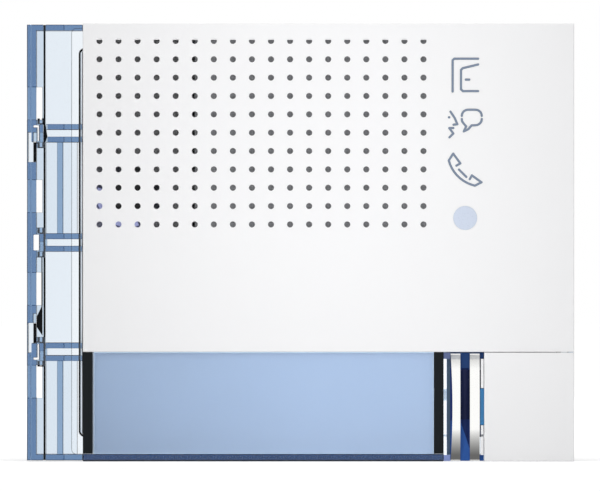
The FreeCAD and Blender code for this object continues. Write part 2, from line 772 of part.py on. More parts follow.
def latch_strip():
    """Dark strip in the channel with three pairs of hollow lugs, a cam and two locking tabs."""
    low_end = CARRIER_BOTTOM + LATCH_END
    high_end = CARRIER_TOP - LATCH_END
    spine_right = SPINE_X + SPINE
    solids = [box(SPINE_X, spine_right, LATCH_FRONT, LATCH_REAR, low_end, high_end)]
    hollows = []
    lug_left = SPINE_X - LUG_REACH
    for middle in RIB_PAIRS:
        for z0 in (middle + LUG_GAP / 2, middle - LUG_GAP / 2 - LUG_HEIGHT):
            z1 = z0 + LUG_HEIGHT
            solids.append(box(lug_left, spine_right, LATCH_FRONT, LATCH_REAR, z0, z1))
            hollows.append(
                box(lug_left + LUG_SIDE, SPINE_X - LUG_INNER, LATCH_FRONT, LATCH_REAR, z0 + LUG_BASE, z1)
            )
    cam = [(spine_right, CAM_TOP), (spine_right + CAM_REACH, CAM_PEAK), (spine_right, CAM_END)]
    solids.append(front_outline(cam, LATCH_FRONT, LATCH_REAR))
    tab_left = LEFT + TAB_FROM_LEFT
    (low_z0, low_z1), (high_z0, high_z1) = sorted(tab_spans())
    for z0, z1, arm_z in ((high_z0, high_z1, high_z1 - TAB_ARM), (low_z0, low_z1, low_z0)):
        solids.append(box(tab_left, tab_left + TAB, LATCH_FRONT, LATCH_REAR, z0, z1))
        solids.append(box(tab_left, SPINE_X, LATCH_FRONT, LATCH_REAR, arm_z, arm_z + TAB_ARM))
    return take(join(solids), hollows)


def detent_spring():
    """Thin leaf at the strip's left side, ending in a nose with two slopes and a flat between them."""
    x0 = LEFT + NOSE_FROM_LEFT
    x1 = SPINE_X - SPRING_FROM_SPINE
    root_z = -LUG_GAP / 2 - LUG_HEIGHT - SNUG
    leaf = box(x1 - SPRING_LEAF, x1, LATCH_FRONT, LATCH_REAR, NOSE_TOP - NOSE_SLOPE, root_z)
    flat_top = NOSE_TOP - NOSE_SLOPE
    nose = front_outline(
        [(x1, NOSE_TOP), (x0, flat_top), (x0, flat_top - NOSE_FLAT), (x1, NOSE_TOP - NOSE_LENGTH)],
        LATCH_FRONT, LATCH_REAR,
    )
    return join([leaf, nose])


# Front plate, pictograms and what lies behind them

def grille_holes():
    """Round holes in rows and columns."""
    tools = []
    for row in range(HOLE_ROWS):
        for column in range(HOLE_COLUMNS):
            x = GRILLE_X + column * COLUMN_PITCH
            z = GRILLE_Z - row * ROW_PITCH
            tools.append(rod(x, z, HOLE_RADIUS, FRONT - 1, PLATE_BACK + 1))
    return tools


def front_plate():
    """White plate with turned-back edges, grille, slots for the pictograms and three screw bosses."""
    body = box(PLATE_LEFT, RIGHT, FRONT, COVER_BASE, ROW_TOP, TOP)
    body = rounded_front(body, FRONT, EDGE_ROUND)
    inside = box(PLATE_LEFT + SKIRT, RIGHT - SKIRT, PLATE_BACK, COVER_BASE, ROW_TOP + SKIRT, TOP - SKIRT)
    thinned = box(
        PLATE_LEFT + SKIRT, mesh_right() + SNUG, GRILLE_BACK, PLATE_BACK, GRILLE_LOW - SNUG,
        GRILLE_Z + TOP_RIB_OVERLAP,
    )
    tools = [inside, thinned] + grille_holes()
    for lines in icon_lines():
        for points in lines:
            tools.append(stroke(points, FRONT - 1, FRONT + ICON_DEPTH, ICON_STROKE + 2 * SNUG))
    tools.append(rod(ICON_X, SENSOR_Z, SENSOR_RADIUS + SNUG, FRONT - 1, PLATE_BACK + 1))
    body = take(body, tools)
    rib_z = GRILLE_Z + TOP_RIB_OVERLAP
    rib_back = PLATE_BACK + TOP_RIB_DEPTH
    rib_front = FRONT + TOP_RIB_FRONT
    solids = [body, box(PLATE_LEFT + SKIRT, RIGHT - SKIRT, rib_front, rib_back, rib_z, TOP - SKIRT)]
    bores = []
    for x, z in plate_screw_places()[1:]:
        solids.append(rod(x, z, PLATE_BOSS_RADIUS, PLATE_BACK, COVER_BASE))
        bores.append(rod(x, z, SCREW_RADIUS + SNUG, SCREW_TIP - SLIDING, COVER_BASE))
    return take(join(solids), bores)


def door_lines():
    """Open door: the frame's corner, the leaf and its handle."""
    x = ICON_X
    z = DOOR_Z
    frame = [(x - 2.64, z - 3.58), (x - 2.64, z + 3.0), (x - 2.3, z + 3.32), (x + 2.72, z + 3.32)]
    leaf = [(x + 2.72, z + 2.1), (x - 0.51, z + 1.32), (x - 0.89, z + 0.95)]
    leaf += [(x - 0.89, z - 3.1), (x - 0.5, z - 3.49), (x + 2.72, z - 3.49)]
    handle = [(x + 0.12, z - 1.08), (x + 0.85, z - 1.08)]
    return [frame, leaf, handle]


def talk_lines():
    """Plain head in profile with a speech bubble that is open at its two sides."""
    x = ICON_X
    z = TALK_Z
    corner = 1.3
    bubble_left = x + 0.58
    bubble_right = x + 2.18
    upper = arc_points(bubble_left, z + 1.6, corner, 180, 90, 5)
    upper += arc_points(bubble_right, z + 1.6, corner, 90, 0, 5)
    lower = arc_points(bubble_right, z + 0.94, corner, 0, -90, 5)
    lower += [(x + 1.35, z - 0.4), (x + 0.65, z - 1.2), (x - 0.3, z - 1.65), (x + 0.2, z - 0.6)]
    lower += arc_points(bubble_left, z + 0.94, corner, 225, 180, 3)
    face = [(x - 3.1, z + 2.5), (x - 2.2, z + 1.15), (x - 1.65, z - 0.15), (x - 2.45, z - 0.25)]
    chin = [(x - 2.5, z - 0.95), (x - 3.35, z - 0.95), (x - 2.5, z - 2.1), (x - 3.3, z - 2.9)]
    eye = [(x - 3.42, z + 1.3), (x - 3.36, z + 1.3)]
    return [upper, lower, face, chin, eye]


def call_lines():
    """Handset: a bent back, an end piece at each side and a short line for the grip."""
    x = ICON_X
    z = CALL_Z
    back = arc_points(x + 3.7, z + 3.95, 7.4, 195, 257, 9)
    ear = [back[0], (x - 2.53, z + 3.48), (x - 1.02, z + 1.42), (x - 1.85, z + 0.95)]
    mouth = [back[-1], (x + 3.43, z - 2.55), (x + 1.4, z - 1.1), (x + 0.95, z - 1.9)]
    grip = [(x - 1.31, z + 0.12), (x + 0.24, z - 1.42)]
    return [back, ear, mouth, grip]


def icon_lines():
    """The three pictograms, each as a list of lines."""
    return [door_lines(), talk_lines(), call_lines()]


def icon_guide(lines):
    """Clear light guide that fills the slots of one pictogram, flush with the plate."""
    guides = [stroke(points, FRONT, FRONT + ICON_DEPTH, ICON_STROKE) for points in lines]
    return guides[0].multiFuse(guides[1:]).Solids


def icon_diffuser():
    """Milky sheet behind the three pictograms."""
    z0 = CALL_Z - ICON_SHEET_HALF
    z1 = DOOR_Z + ICON_SHEET_HALF
    x0 = ICON_X - ICON_SHEET_HALF
    x1 = ICON_X + ICON_SHEET_HALF
    return box(x0, x1, PLATE_BACK, PLATE_BACK + ICON_SHEET, z0, z1)


def sensor_lens():
    """Round lens with a flange behind the plate."""
    lens = rod(ICON_X, SENSOR_Z, SENSOR_RADIUS, FRONT, PLATE_BACK)
    flange = rod(ICON_X, SENSOR_Z, SENSOR_RADIUS + SENSOR_FLANGE, PLATE_BACK, PLATE_BACK + ICON_SHEET)
    return lens.fuse(flange).removeSplitter()


def light_pipes():
    """Four clear rods that carry light between the board and the front."""
    front = PLATE_BACK + ICON_SHEET + SNUG
    rear = BOARD_FRONT - STATUS_LED_HEIGHT - SLIDING
    return [rod(ICON_X, z, LIGHT_PIPE_RADIUS, front, rear) for z in light_places()]


def status_leds():
    """Light sources and light sensor on the board, one under each rod."""
    front = BOARD_FRONT - STATUS_LED_HEIGHT
    half_x = STATUS_LED_WIDTH / 2
    half_z = STATUS_LED_LENGTH / 2
    chips = []
    for z in light_places():
        chips.append(box(ICON_X - half_x, ICON_X + half_x, front, BOARD_FRONT, z - half_z, z + half_z))
    return chips


def mesh_right():
    """Right end of the cloth, just past the last column of holes."""
    return GRILLE_X + (HOLE_COLUMNS - 1) * COLUMN_PITCH + MESH_MARGIN


def acoustic_mesh():
    """Cloth behind the right part of the grille."""
    top = GRILLE_Z + TOP_RIB_OVERLAP - SNUG
    return box(MESH_LEFT, mesh_right(), GRILLE_BACK, MESH_BACK, GRILLE_LOW, top)


def speaker_gasket():
    """Foam ring between cloth and loudspeaker."""
    inner = FLANGE_INNER + GASKET_STEP
    return tube(SPEAKER_X, SPEAKER_Z, SPEAKER_RADIUS, inner, MESH_BACK, FLANGE_FRONT - ROLL_WALL)


# Loudspeaker

def speaker_basket():
    """Pressed basket: flange, sloping wall and floor with a hole for the voice coil."""
    hole = COIL_RADIUS + BASKET_HOLE_GAP
    floor_front = MAGNET_FRONT - BASKET_WALL
    profile = [
        (FLANGE_INNER, FLANGE_FRONT), (SPEAKER_RADIUS, FLANGE_FRONT), (SPEAKER_RADIUS, FLANGE_REAR),
        (FLANGE_INNER, FLANGE_REAR), (BASKET_LOW, MAGNET_FRONT), (hole, MAGNET_FRONT),
        (hole, floor_front), (BASKET_LOW - BASKET_WALL, floor_front),
    ]
    return turned(SPEAKER_X, SPEAKER_Z, profile)


def speaker_magnet():
    """Magnet with its centre pole."""
    magnet = rod(SPEAKER_X, SPEAKER_Z, MAGNET_RADIUS, MAGNET_FRONT, MAGNET_REAR)
    pole_radius = COIL_RADIUS - COIL_GAP
    well_radius = COIL_RADIUS + COIL_WALL + COIL_GAP
    well = tube(SPEAKER_X, SPEAKER_Z, well_radius, pole_radius, MAGNET_FRONT, MAGNET_FRONT + MAGNET_WELL)
    pole = rod(SPEAKER_X, SPEAKER_Z, pole_radius, MAGNET_FRONT - POLE_RISE, MAGNET_FRONT)
    return join([magnet.cut(well), pole])


def speaker_cone():
    """Cone with dust cap and voice coil former in one turned shape."""
    rim_y = FLANGE_FRONT + CONE_RIM_DROP
    neck_y = CONE_NECK_Y
    coil_end = MAGNET_FRONT + COIL_DEPTH
    outer = COIL_RADIUS + COIL_WALL
    cap_y = neck_y - DUST_CAP_RISE
    shoulder_y = neck_y - DUST_CAP_SHOULDER
    profile = [
        (0, cap_y), (DUST_CAP_RADIUS, shoulder_y), (outer, neck_y - CONE_WALL),
        (CONE_EDGE, rim_y - CONE_WALL), (CONE_EDGE, rim_y), (outer, neck_y), (outer, coil_end),
        (COIL_RADIUS, coil_end), (COIL_RADIUS, neck_y), (DUST_CAP_RADIUS, shoulder_y + CONE_WALL),
        (0, cap_y + CONE_WALL),
    ]
    return turned(SPEAKER_X, SPEAKER_Z, profile)


def speaker_surround():
    """Soft half roll between cone and basket."""
    start = CONE_EDGE + SNUG
    end = FLANGE_INNER + FLANGE_LAND
    middle = (start + end) / 2
    front = FLANGE_FRONT - ROLL_WALL
    z = SPEAKER_Z
    x = SPEAKER_X
    outer_arc = Part.Arc(
        VECTOR(x + start, front, z), VECTOR(x + middle, front - ROLL_RISE, z), VECTOR(x + end, front, z)
    ).toShape()
    inner_arc = Part.Arc(
        VECTOR(x + end, FLANGE_FRONT, z), VECTOR(x + middle, front - ROLL_RISE + ROLL_WALL, z),
        VECTOR(x + start, FLANGE_FRONT, z),
    ).toShape()
    flat_out = Part.makePolygon(
        [VECTOR(x + end, front, z), VECTOR(x + SPEAKER_RADIUS, front, z),
         VECTOR(x + SPEAKER_RADIUS, FLANGE_FRONT, z), VECTOR(x + end, FLANGE_FRONT, z)]
    )
    closing = Part.makeLine(VECTOR(x + start, FLANGE_FRONT, z), VECTOR(x + start, front, z))
    wire = Part.Wire([outer_arc] + flat_out.Edges + [inner_arc, closing])
    return Part.Face(wire).revolve(VECTOR(x, 0, z), ALONG_Y, 360)


def speaker_contacts():
    """Two pins from the basket's edge to the board."""
    share = (SPEAKER_CONTACT_FRONT - FLANGE_REAR) / (MAGNET_FRONT - FLANGE_REAR)
    basket_radius = FLANGE_INNER + share * (BASKET_LOW - FLANGE_INNER)
    z = SPEAKER_Z - basket_radius - SPEAKER_CONTACT_RADIUS
    pins = []
    for x in (SPEAKER_X - SPEAKER_CONTACT_HALF, SPEAKER_X + SPEAKER_CONTACT_HALF):
        pins.append(rod(x, z, SPEAKER_CONTACT_RADIUS, SPEAKER_CONTACT_FRONT, BOARD_FRONT))
    return pins


# Microphone

def mic_boot():
    """Rubber boot that holds the capsule against the front."""
    boot = rod(MIC_X, MIC_Z, BOOT_RADIUS, GRILLE_BACK + SNUG, COVER_BASE)
    pocket = rod(MIC_X, MIC_Z, MIC_RADIUS + SNUG, COVER_BASE - MIC_THICK - SNUG, COVER_BASE)
    channel = rod(MIC_X, MIC_Z, BOOT_SOUND_RADIUS, GRILLE_BACK, COVER_BASE)
    return boot.cut(pocket).cut(channel)


def mic_capsule():
    """Microphone capsule."""
    return rod(MIC_X, MIC_Z, MIC_RADIUS, COVER_BASE - MIC_THICK, COVER_BASE)


def mic_contacts():
    """Two pins from the capsule to the board."""
    return [rod(x, MIC_Z, CONTACT_RADIUS, COVER_BASE, BOARD_FRONT) for x in mic_contact_places()]


def mic_contact_places():
    """Where the two contacts stand, left and right of the capsule's middle."""
    return [MIC_X - MIC_CONTACT_HALF, MIC_X + MIC_CONTACT_HALF]


def mic_collar():
    """Blue wall that bends round the lower left of the microphone."""
    centre = VECTOR(MIC_X, 0, MIC_Z)
    inner = MIC_X + COLLAR_RADIUS
    outer = inner + COLLAR_WALL
    outline = [(inner, GRILLE_BACK), (outer, GRILLE_BACK), (outer, COVER_BASE), (inner, COVER_BASE)]
    corners = [VECTOR(x, y, MIC_Z) for x, y in outline]
    face = Part.Face(Part.makePolygon(corners + corners[:1]))
    face.rotate(centre, ALONG_Y, -COLLAR_START)
    return face.revolve(centre, -ALONG_Y, COLLAR_SWEEP)


# Label

def label_window():
    """Blue window over the name card, with a tongue that reaches into the tray's wall."""
    pane = box(WINDOW_LEFT, WINDOW_RIGHT, WINDOW_FRONT, WINDOW_BACK, BOTTOM + LIP, LABEL_TOP)
    low = ROW_TOP - TONGUE_FROM_TOP - TONGUE_HEIGHT / 2
    high = low + TONGUE_HEIGHT
    tongue = box(WINDOW_RIGHT, TRAY_RIGHT, WINDOW_BACK - TONGUE_THICK, WINDOW_BACK, low, high)
    return join([pane, tongue])


def tongue_room(front):
    """Cutter round the window's tongue, from a given depth on."""
    low = ROW_TOP - TONGUE_FROM_TOP - TONGUE_HEIGHT / 2 - SLIDING
    high = low + TONGUE_HEIGHT + 2 * SLIDING
    return box(WINDOW_RIGHT, TRAY_RIGHT, front, WINDOW_BACK + SLIDING, low, high)


def label_lip():
    """Darker blue bar below the window and its end bars."""
    return box(
        PLATE_LEFT, LABEL_RIGHT, WINDOW_FRONT, COVER_BASE - SLIDING, BOTTOM, BOTTOM + LIP - SNUG
    )


def label_end_bar(x0):
    """Dark bar at one end of the window."""
    x1 = x0 + END_BAR - SNUG
    return box(x0, x1, WINDOW_FRONT, TRAY_FLOOR_FRONT, BOTTOM + LIP + SNUG, LABEL_TOP)


def label_card():
    """Name card behind the window."""
    return box(
        CARD_LEFT, WINDOW_RIGHT - SLIDING, CARD_FRONT, CARD_FRONT + CARD_THICK,
        BOTTOM + LIP + SLIDING, LABEL_TOP - SLIDING,
    )


def label_diffuser():
    """Milky sheet that spreads the light behind the card."""
    return box(
        CARD_LEFT, WINDOW_RIGHT - SLIDING, DIFFUSER_FRONT, DIFFUSER_FRONT + DIFFUSER_THICK,
        BOTTOM + LIP + SLIDING, LABEL_TOP - SLIDING,
    )


def label_led_places():
    """Light sources behind the label, evenly spaced."""
    pitch = (WINDOW_RIGHT - WINDOW_LEFT) / (LABEL_LEDS + 1)
    z = (BOTTOM + LIP + ROW_PIECE_TOP) / 2 + LABEL_LED_RAISE
    return [(WINDOW_LEFT + pitch * (index + 1), z) for index in range(LABEL_LEDS)]


def label_led_holes():
    """Round cutters through tray and chassis in front of the light sources."""
    front = TRAY_FLOOR_FRONT - 1
    return [rod(x, z, LABEL_LED_HOLE_RADIUS, front, CHASSIS_REAR + 1) for x, z in label_led_places()]


def label_tray():
    """White tray behind the label, open over the light sources, with a wall at its right."""
    z0 = BOTTOM + LIP + SNUG
    back = box(PLATE_LEFT, TRAY_RIGHT, TRAY_FLOOR_FRONT, COVER_BASE, z0, ROW_PIECE_TOP)
    inside = box(
        PLATE_LEFT + TRAY_FLOOR, TRAY_RIGHT - TRAY_WALL, TRAY_FLOOR_FRONT + TRAY_FLOOR, COVER_BASE,
        z0 + TRAY_FLOOR, ROW_PIECE_TOP - TRAY_FLOOR,
    )
    wall_x = LABEL_RIGHT + SNUG
    low = BOTTOM + ROW_END
    high = ROW_PIECE_TOP - ROW_END
    wall = box(wall_x, TRAY_RIGHT, WINDOW_FRONT, COVER_BASE, low, high)
    notch = box(
        wall_x, TRAY_RIGHT, WINDOW_FRONT, WINDOW_FRONT + NOTCH_DEPTH, NOTCH_LOW, NOTCH_LOW + NOTCH
    )
    return take(join([back.cut(inside), wall]), label_led_holes() + [notch, tongue_room(FRONT)])


def label_leds():
    """Light sources on the board behind the label."""
    front = BOARD_FRONT - LABEL_LED_HEIGHT
    half = LABEL_LED_SIDE / 2
    return [box(x - half, x + half, front, BOARD_FRONT, z - half, z + half) for x, z in label_led_places()]


# Call button

def button_cap():
    """White cap with two ribs inside and two lugs beside it."""
    z0 = BOTTOM
    z1 = ROW_PIECE_TOP
    body = box(CAP_LEFT, RIGHT, FRONT, CAP_BACK, z0, z1)
    body = rounded_front(body, FRONT, EDGE_ROUND)
    wall_x = CAP_LEFT + CAP_WALL
    inside = box(wall_x, RIGHT - CAP_WALL, FRONT + CAP_FACE, CAP_BACK, z0 + CAP_WALL, z1 - CAP_WALL)
    arm_slot = box(CAP_LEFT, wall_x, ARM_FRONT, CAP_BACK, HUB_BOTTOM - SLIDING, HUB_TOP + SLIDING)
    body = take(body, [inside, arm_slot])
    solids = [body]
    for x in (CAP_LEFT + CAP_WIDTH / 3, CAP_LEFT + CAP_WIDTH * 2 / 3):
        solids.append(box(x, x + RIB_IN_CAP, FRONT + CAP_FACE, ARM_FRONT, z0 + CAP_WALL, z1 - CAP_WALL))
    lug_x = CAP_LEFT - LUG_WIDTH
    light_z0, light_z1 = light_span()
    for low, high in ((z0 + ROW_END, light_z0 - SLIT), (light_z1 + SLIT, z1 - ROW_END)):
        solids.append(box(lug_x, CAP_LEFT, FRONT + LUG_DROP, ARM_FRONT, low, high))
    groove_end = FRONT + LUG_DROP + LUG_GROOVE_DEPTH
    groove = box(CAP_LEFT - LUG_GROOVE, CAP_LEFT, FRONT, groove_end, z0, z1)
    notch = box(lug_x, CAP_LEFT, FRONT, FRONT + NOTCH_DEPTH, NOTCH_LOW, NOTCH_LOW + NOTCH)
    return take(join(solids), [groove, notch])


def light_span():
    """Lower and upper end of the blue light guide beside the cap."""
    middle = (BOTTOM + ROW_TOP) / 2
    return middle - LIGHT_LENGTH / 2, middle + LIGHT_LENGTH / 2


def button_light():
    """Blue light guide that stands on the lever between the lugs."""
    z0, z1 = light_span()
    return box(CAP_LEFT - LIGHT_WIDTH, CAP_LEFT - SNUG, FRONT + LIGHT_DROP, ARM_FRONT, z0, z1)


def button_lever():
    """Lever: hub on the pin, arm into the cap, foot over the switch and tail behind the spring."""
    hub = post(PIVOT_X, PIVOT_Y, HUB_RADIUS, HUB_BOTTOM, HUB_TOP)
    arm = box(PIVOT_X, RIGHT - CAP_WALL - ARM_END, ARM_FRONT, ARM_FRONT + ARM_THICK, HUB_BOTTOM, HUB_TOP)
    foot = rod(FOOT_X, FOOT_Z, FOOT_RADIUS, ARM_FRONT + ARM_THICK, PLUNGER_TIP - FOOT_GAP)
    tail_x = LEG_LEFT_X + LEG_WIDTH / 2
    low = LEG_MIDDLE_Z - TAIL_HEIGHT / 2
    high = LEG_MIDDLE_Z + TAIL_HEIGHT / 2
    half = TAIL_THICK / 2
    tail = box(tail_x - half, tail_x + half, BOW_FRONT + LEG_THICK + TAIL_GAP, PIVOT_Y, low, high)
    tail_root = box(tail_x - half, PIVOT_X, PIVOT_Y - TAIL_THICK, PIVOT_Y + TAIL_THICK, low, high)
    lever = join([hub, arm, foot, tail, tail_root])
    return lever.cut(post(PIVOT_X, PIVOT_Y, PIN_RADIUS + RUNNING, HUB_BOTTOM - 1, HUB_TOP + 1))


def hinge_pin():
    """Steel pin of the call button."""
    return post(PIVOT_X, PIVOT_Y, PIN_RADIUS, BOTTOM + PIN_END, ROW_PIECE_TOP - PIN_END)


def leg_profile(x, width, waist, side):
    """One bowed spring leg with flat feet; its outer side is drawn in at the middle."""
    z0 = ROW_PIECE_BOTTOM
    z1 = LEG_TOP
    zm = LEG_MIDDLE_Z
    foot = HOLDER_FRONT
    rear_bow = BOW_FRONT + LEG_THICK
    front_foot = foot - LEG_THICK
    points = [VECTOR(x, foot, z0), VECTOR(x, front_foot, z0), VECTOR(x, front_foot, z0 + LEG_FOOT)]
    start = Part.makePolygon(points)
    bow = Part.Arc(points[-1], VECTOR(x, BOW_FRONT, zm), VECTOR(x, front_foot, z1 - LEG_FOOT)).toShape()
    end = Part.makePolygon([
        VECTOR(x, front_foot, z1 - LEG_FOOT), VECTOR(x, front_foot, z1), VECTOR(x, foot, z1),
        VECTOR(x, foot, z1 - LEG_FOOT),
    ])
    back = Part.Arc(
        VECTOR(x, foot, z1 - LEG_FOOT), VECTOR(x, rear_bow, zm), VECTOR(x, foot, z0 + LEG_FOOT)
    ).toShape()
    last = Part.makeLine(VECTOR(x, foot, z0 + LEG_FOOT), VECTOR(x, foot, z0))
    wire = Part.Wire(start.Edges + [bow] + end.Edges + [back, last])
    leg = Part.Face(wire).extrude(VECTOR(width, 0, 0))
    if waist > 0:
        half = (z1 - z0) / 2
        radius = (half * half + waist * waist) / (2 * waist)
        edge_x = x if side < 0 else x + width
        centre_x = edge_x + side * (radius - waist)
        bite = Part.makeCylinder(radius, FRONT_RISE, VECTOR(centre_x, FRONT, zm), ALONG_Y)
        leg = leg.cut(bite)
    return leg


def spring_legs():
    """Bright spring clip: two bowed legs side by side."""
    return [
        leg_profile(LEG_LEFT_X, LEG_WIDTH, LEG_WAIST, -1),
        leg_profile(LEG_RIGHT_X, LEG_WIDTH, 0, 1),
    ]


def clip_holder():
    """Blue bracket under the spring: two end blocks with the pin's bores, joined by a rail."""
    x0 = LEG_LEFT_X
    x1 = LEG_RIGHT_X + LEG_WIDTH
    z0 = ROW_PIECE_BOTTOM
    z1 = ROW_PIECE_TOP
    low = z0 + HOLDER_BOTTOM_BLOCK
    bottom_block = front_outline(
        [(x0, z0), (x1, z0), (x1, low), (LEG_RIGHT_X, low), (x0 + LEG_WIDTH, low + HOLDER_SLOPE),
         (x0, low + HOLDER_SLOPE)],
        HOLDER_FRONT, HOLDER_REAR,
    )
    high = z1 - HOLDER_TOP_BLOCK
    top_block = box(x0, x1, HOLDER_FRONT, HOLDER_REAR, high, z1)
    rail_x = PIVOT_X + HUB_RADIUS + LATCH_ROOM
    rail = box(rail_x, x1, HOLDER_REAR - HOLDER_RAIL, HOLDER_REAR, low, high)
    solids = [bottom_block, top_block, rail]
    corner_right = x0 - SLIDING
    corner_rear = TRAY_FLOOR_FRONT - SLIDING
    for end_low, end_high in ((z0, BOTTOM + ROW_END - SNUG), (z1 - ROW_END + SNUG, z1)):
        solids.append(
            box(LABEL_RIGHT + SNUG, corner_right, HOLDER_CORNER_FRONT, corner_rear, end_low, end_high)
        )
        solids.append(box(corner_right, x0, HOLDER_FRONT, corner_rear, end_low, end_high))
        solids.append(box(x1, CAP_LEFT - SLIDING, HOLDER_FRONT, corner_rear, end_low, end_high))
    return join(solids).cut(post(PIVOT_X, PIVOT_Y, PIN_RADIUS + SNUG / 3, BOTTOM, ROW_TOP))


def holder_base():
    """Dark plate behind the lever's hub, with a cheek beside the left leg."""
    z1 = ROW_PIECE_TOP - HOLDER_TOP_BLOCK
    x0 = TRAY_RIGHT + SLIDING
    x1 = LEG_RIGHT_X + LEG_WIDTH
    gap_left = LEG_LEFT_X + LEG_WIDTH
    z0 = BOTTOM + ROW_END
    low = ROW_PIECE_BOTTOM + HOLDER_BOTTOM_BLOCK - BASE_UNDER
    plate = front_outline(
        [(x0, z0), (gap_left, z0), (gap_left, low + HOLDER_SLOPE), (LEG_RIGHT_X, low), (x1, low),
         (x1, z1), (x0, z1)],
        COVER_BASE - HOLDER_BASE, COVER_BASE,
    )
    cheek = box(
        x0, LEG_LEFT_X - SLIDING, HOLDER_CHEEK_FRONT, COVER_BASE, z0, ROW_PIECE_TOP - ROW_END - SNUG
    )
    return join([plate, cheek])


def switch_body():
    """Call switch on the board, with a round hole for its plunger."""
    half = SWITCH_SIDE / 2
    front = BOARD_FRONT - SWITCH_HEIGHT
    body = box(FOOT_X - half, FOOT_X + half, front, BOARD_FRONT, FOOT_Z - half, FOOT_Z + half)
    return body.cut(rod(FOOT_X, FOOT_Z, PLUNGER_RADIUS + RUNNING, front, BOARD_FRONT - SWITCH_FLOOR))


def switch_plunger():
    """Plunger that the lever's foot presses."""
    return rod(FOOT_X, FOOT_Z, PLUNGER_RADIUS, PLUNGER_TIP, BOARD_FRONT - SWITCH_FLOOR - PLUNGER_ROOM)


# Rear unit

def inner_chassis():
    """Front wall of the rear unit: openings, loudspeaker collar and a stage behind the bare holes."""
    body = rounded_slab(
        UNIT_LEFT, UNIT_RIGHT, -UNIT_TOP, UNIT_TOP, HOUSING_CORNER, COVER_BASE, CHASSIS_REAR
    )
    collar = rod(SPEAKER_X, SPEAKER_Z, SPEAKER_RADIUS + SPEAKER_COLLAR, FLANGE_REAR, COVER_BASE)
    blind_x, blind_z = plate_screw_places()[0]
    boss = rod(blind_x, blind_z, PLATE_BOSS_RADIUS, SCREW_TIP - BLIND_BOSS_END, COVER_BASE)
    shelf = box(
        PLATE_LEFT + SKIRT, UNIT_RIGHT, COVER_BASE, COVER_BASE + SHELF_THICK, UNIT_TOP - SHELF_ROOT,
        CARRIER_TOP - RIM - SHELF_GAP,
    )
    stage = box(
        PLATE_LEFT + SKIRT + STAGE_GAP, MESH_LEFT - STAGE_GAP, STAGE_FRONT, COVER_BASE, GRILLE_LOW,
        CARRIER_TOP - RIM - SHELF_GAP,
    )
    stage = stage.cut(rod(MIC_X, MIC_Z, COLLAR_RADIUS + COLLAR_WALL + STAGE_GAP, FRONT, COVER_BASE))
    stage = stage.cut(rod(SPEAKER_X, SPEAKER_Z, SPEAKER_RADIUS + STAGE_GAP, FRONT, COVER_BASE))
    body = join([body, collar, boss, shelf, stage])
    front = COVER_BASE - 1
    rear = CHASSIS_REAR + 1
    tools = [rod(SPEAKER_X, SPEAKER_Z, FLANGE_INNER + FLANGE_LAND, FLANGE_REAR - 1, rear)]
    for index, (x, z) in enumerate(plate_screw_places()):
        start = SCREW_TIP - SLIDING if index == 0 else front
        tools.append(rod(x, z, SCREW_RADIUS + SNUG, start, rear))
    for z in light_places():
        tools.append(rod(ICON_X, z, LIGHT_PIPE_RADIUS + SLIDING, front, rear))
    for x in mic_contact_places():
        tools.append(rod(x, MIC_Z, CONTACT_RADIUS + SLIDING, front, rear))
    tools.append(rod(FOOT_X, FOOT_Z, PLUNGER_RADIUS + PLUNGER_HOLE_GAP, front, rear))
    groove_right = PLATE_LEFT - SNUG
    groove_rear = COVER_BASE + CHASSIS_GROOVE_DEPTH
    tools.append(box(groove_right - CHASSIS_GROOVE, groove_right, front, groove_rear, -TOP, TOP))
    return take(body, tools + label_led_holes())


def housing_catches():
    """Catches on the housing's outside that hold the carrier's rear face."""
    solids = []
    y0 = -RECESS_DEPTH + SNUG
    y1 = y0 + CATCH_DEPTH
    reach = OPEN_TOP + CATCH
    root = UNIT_TOP - CATCH_ROOT
    half = CATCH_LENGTH / 2
    for side in (-1, 1):
        x = (UNIT_LEFT + UNIT_RIGHT) / 2 + side * CATCHES_ALONG_X
        solids.append(box(x - half, x + half, y0, y1, root, reach))
        solids.append(box(x - half, x + half, y0, y1, -reach, -root))
        z = side * CATCHES_ALONG_Z
        solids.append(box(UNIT_RIGHT - CATCH_ROOT, OPEN_RIGHT + CATCH, y0, y1, z - half, z + half))
    return solids


